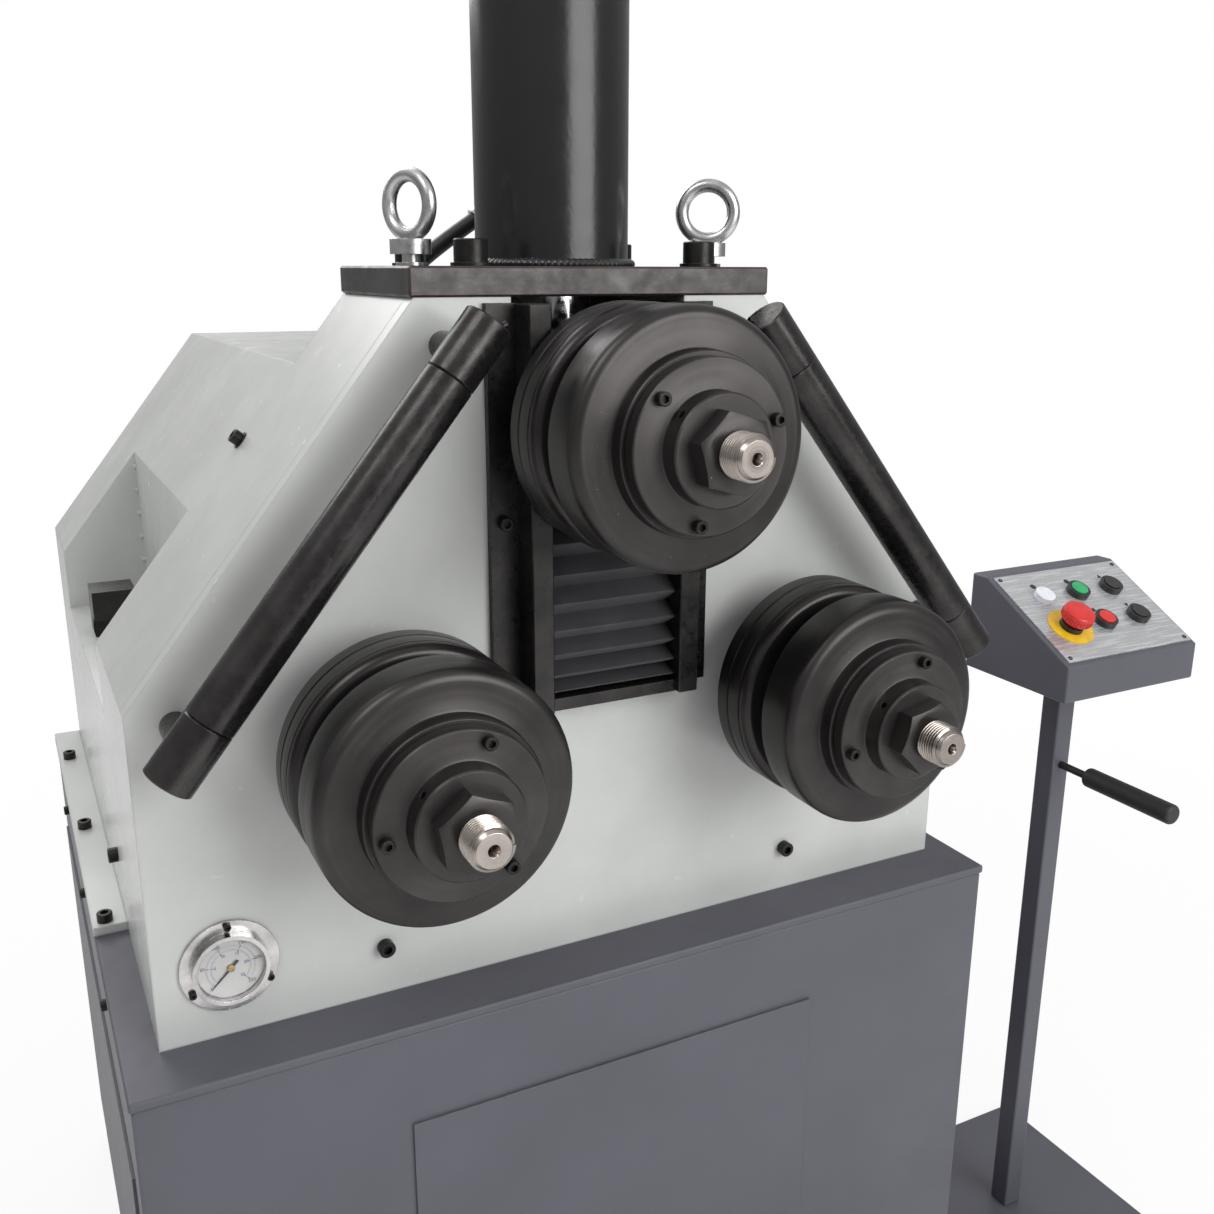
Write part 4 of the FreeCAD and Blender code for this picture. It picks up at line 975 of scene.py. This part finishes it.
pointer_ink = ink("pointer_black", (0.01, 0.01, 0.01, 1))
bpy.ops.mesh.primitive_cone_add(vertices=4, radius1=NEEDLE_ROOT, radius2=NEEDLE_TIP,
                                depth=NEEDLE_LENGTH, location=(0, 0, 0))
needle = bpy.context.object
needle.name = "gauge_pointer"
needle.scale = (1, 0.25, 1)
needle.rotation_euler = (0, radians(90 - SCALE_START), 0)
needle.location = on_dial(SCALE_START, NEEDLE_MIDDLE, NEEDLE_LIFT)
hub_cap = turned("pointer_hub", [(0.0034, 0), (0.0034, 0.003), (0.0028, 0.0036), (0.0012, 0.0038)], 32)
hub_cap = copied(hub_cap, "pointer_cap", on_dial(0, 0, 0.0010), (0, -1, 0))
bpy.data.objects.remove(bpy.data.objects["pointer_hub"])
keep(needle, "machine", pointer_ink)
keep(hub_cap, "machine", bare_metal("pointer_brass", (0.55, 0.40, 0.16, 1), 0.3, shine=1.0))
screwed("gauge_screws", [
    ((dial_centre.x + GAUGE_RIM * cos(radians(turn)), -FLANGE_THICKNESS,
      dial_centre.z + GAUGE_RIM * sin(radians(turn))), (0, -1, 0))
    for turn in (90, -30, -150)], size=0.42)

# Pressure hose. Rubber hose from the elbow on the barrel's rear down to the elbow on the rear
# deck, crimped in a plated ferrule at each end.
HOSE_DIAMETER = 0.017
HOSE_BOW = [(0, 0), (0.353, 0.0054), (0.706, 0.0063), (1, 0)]
DECK_MOUTH = (-0.1256, 1.3444)
HOSE_ANGLE = radians(32.6)
FERRULE = 0.028
PORT_LIFT = 0.0625
RUBBER_DARK = (0.014, 0.014, 0.014, 1)
RUBBER_LIGHT = (0.030, 0.029, 0.028, 1)

crown_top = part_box("crown_plate")[1].z
port = Vector((0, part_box("cylinder_hose")[0].y + HOSE_DIAMETER / 2, crown_top + PORT_LIFT))
mouth = port + Vector((-cos(HOSE_ANGLE), 0, -sin(HOSE_ANGLE))) * FERRULE
finish(zinc, "hose_fittings")
rubber, rubber_tree, rubber_shader = new_material("hose_rubber", 0.42)
rubber_tree.links.new(mixed(rubber_tree, spread(rubber_tree, noise(rubber_tree, 40, 6), 0.4, 0.7),
                            RUBBER_DARK, RUBBER_LIGHT),
                      rubber_shader.inputs["Base Color"])
bumped(rubber_tree, rubber_shader, noise(rubber_tree, 1100, 3), 0.00008)
line = bpy.data.curves.new("cylinder_hose_line", "CURVE")
line.dimensions = "3D"
line.bevel_depth = HOSE_DIAMETER / 2
line.bevel_resolution = 8
line.use_fill_caps = True
run = line.splines.new("NURBS")
run.points.add(len(HOSE_BOW) - 1)
deck_mouth = Vector((DECK_MOUTH[0], mouth.y, DECK_MOUTH[1]))
for point, (way, bow) in zip(run.points, HOSE_BOW):
    point.co = (*(mouth.lerp(deck_mouth, way) + Vector((0, 0, bow))), 1)
run.order_u = 3
run.use_endpoint_u = True
run.resolution_u = 16
hose = bpy.data.objects.new("pressure_hose", line)
bpy.context.collection.objects.link(hose)
line.materials.append(rubber)
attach(hose, "machine")
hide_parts("cylinder_hose")

# Console. A folded steel box on a square post, with a satin aluminium face that still has its
# clear film, a lamp, four push buttons and a mushroom stop on a yellow ring.
FACE_METAL = (0.50, 0.51, 0.52, 1)
BLACK = (0.018, 0.018, 0.018, 1)
GRIP_BLACK = (0.02, 0.02, 0.02, 1)
GREEN = (0.02, 0.36, 0.12, 1)
RED = (0.62, 0.025, 0.02, 1)
YELLOW = (0.80, 0.50, 0.02, 1)
LAMP_WHITE = (0.72, 0.74, 0.80, 1)

console_paint = paint("console_paint", CABINET_PAINT, CABINET_CHIPS, 0.42, 700, 0.00014)
finish(console_paint, "console_box", "console_post", "console_foot")

face_metal, face_tree, face_shader = new_material("face_aluminium", 0.30, 0.55)
film_place = add(face_tree, "ShaderNodeMapping", {
    "Vector": object_place(face_tree), "Scale": (25, 380, 380), "Rotation": (0, 0, 0.35)})
film = spread(face_tree, noise(face_tree, 1.0, 5, film_place.outputs[0]), 0.48, 0.62)
face_tree.links.new(mixed(face_tree, film, shade(FACE_METAL, 0.9), shade(FACE_METAL, 1.15)),
                    face_shader.inputs["Base Color"])
face_tree.links.new(spread(face_tree, film, 0, 1, 0.24, 0.42), face_shader.inputs["Roughness"])
bumped(face_tree, face_shader, film, 0.00004)
finish(face_metal, "console_face")


def plastic(name, colour, roughness):
    """Moulded plastic: a little uneven in colour, with a fine grain."""
    material, tree, shader = new_material(name, roughness)
    tree.links.new(mixed(tree, spread(tree, noise(tree, 90, 5), 0.4, 0.7), colour, shade(colour, 0.8)),
                   shader.inputs["Base Color"])
    bumped(tree, shader, noise(tree, 1500, 2), 0.00003)
    return material


black_plastic = plastic("black_plastic", BLACK, 0.35)
finish(black_plastic, "button_bezels", "up_button", "down_button")
finish(plastic("handle_rubber", GRIP_BLACK, 0.55), "console_handle")
finish(plastic("green_plastic", GREEN, 0.22), "start_button")
stop_red = plastic("red_plastic", RED, 0.22)
finish(stop_red, "stop_button")
finish(plastic("yellow_plastic", YELLOW, 0.30), "stop_ring")
finish(plastic("lamp_white", LAMP_WHITE, 0.20), "power_lamp")

FACE_LOW = Vector((0.620, -0.028, 0.912))
FACE_UP = Vector((0, 0.8759, 0.4826))
FACE_OUT = Vector((0, -0.4826, 0.8759))
FACE_SIZE = (0.228, 0.1678)
PANEL_LIFT = 0.002
FACE_SCREW_SINK = 0.0028
SCREW_MARGIN = 0.0125
SYMBOL_RISE = 0.0215
SYMBOL_SIZE = 0.0042
COLUMNS = (0.054, 0.114, 0.174)
ROWS = (0.060, 0.115)
STOP_RINGS = [
    (0.0108, 0.0047), (0.0108, 0.0125), (0.0165, 0.0135), (0.0198, 0.0150), (0.0200, 0.0165),
    (0.0200, 0.0245), (0.0192, 0.0275), (0.0170, 0.0292), (0.0130, 0.0298), (0.0060, 0.0300),
]
KNURLS = 36
KNURL_CIRCLE = 0.0200


def on_face(across, along, lift=PANEL_LIFT):
    """A point of the console's face, along its width and up its slope."""
    return FACE_LOW + Vector((across, 0, 0)) + FACE_UP * along + FACE_OUT * lift


screwed("face_screws", [
    (on_face(across, along, PANEL_LIFT - FACE_SCREW_SINK), FACE_OUT)
    for across in (SCREW_MARGIN, FACE_SIZE[0] - SCREW_MARGIN)
    for along in (SCREW_MARGIN, FACE_SIZE[1] - SCREW_MARGIN)], size=0.36)

stop_place = on_face(COLUMNS[0], ROWS[0])
mushroom = turned("stop_blank", STOP_RINGS, 96)
knurl = turned("knurl_blank", [(0.0007, 0.0165), (0.0007, 0.0245)], 6)
ribs = []
for count in range(KNURLS):
    turn = 2 * pi * count / KNURLS
    ribs.append(copied(knurl, "stop_rib", (KNURL_CIRCLE * cos(turn), KNURL_CIRCLE * sin(turn), 0)))
bpy.data.objects.remove(knurl)
mushroom_piece = copied(joined("stop_whole", [mushroom] + ribs), "stop_mushroom", stop_place, FACE_OUT)
bpy.data.objects.remove(bpy.data.objects["stop_whole"])
keep(mushroom_piece, "emergency_stop", stop_red)
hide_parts("emergency_stop")

# Symbols. Plain signs printed in black over the lamp and the buttons: a dot for power and for
# start, a square for stop, triangles for up and down.
symbol_ink = ink("symbol_ink", (0.02, 0.02, 0.025, 1))
signs = []
for name, sides, turn, across, along in (
        ("sign_up", 3, 0, COLUMNS[2], ROWS[1]), ("sign_down", 3, 180, COLUMNS[2], ROWS[0]),
        ("sign_start", 24, 0, COLUMNS[1], ROWS[1]), ("sign_stop", 4, 45, COLUMNS[1], ROWS[0]),
        ("sign_power", 24, 0, COLUMNS[0], ROWS[1])):
    blank = turned(name, [(SYMBOL_SIZE, 0), (SYMBOL_SIZE, 0.00015)], sides)
    blank.rotation_euler = (0, 0, radians(turn))
    bpy.ops.object.transform_apply(rotation=True)
    signs.append(copied(blank, "button_signs", on_face(across, along + SYMBOL_RISE), FACE_OUT))
    bpy.data.objects.remove(blank)
keep(joined("button_signs", signs), "machine", symbol_ink)

bpy.data.objects.remove(cap_screw)
bpy.data.objects.remove(washer)
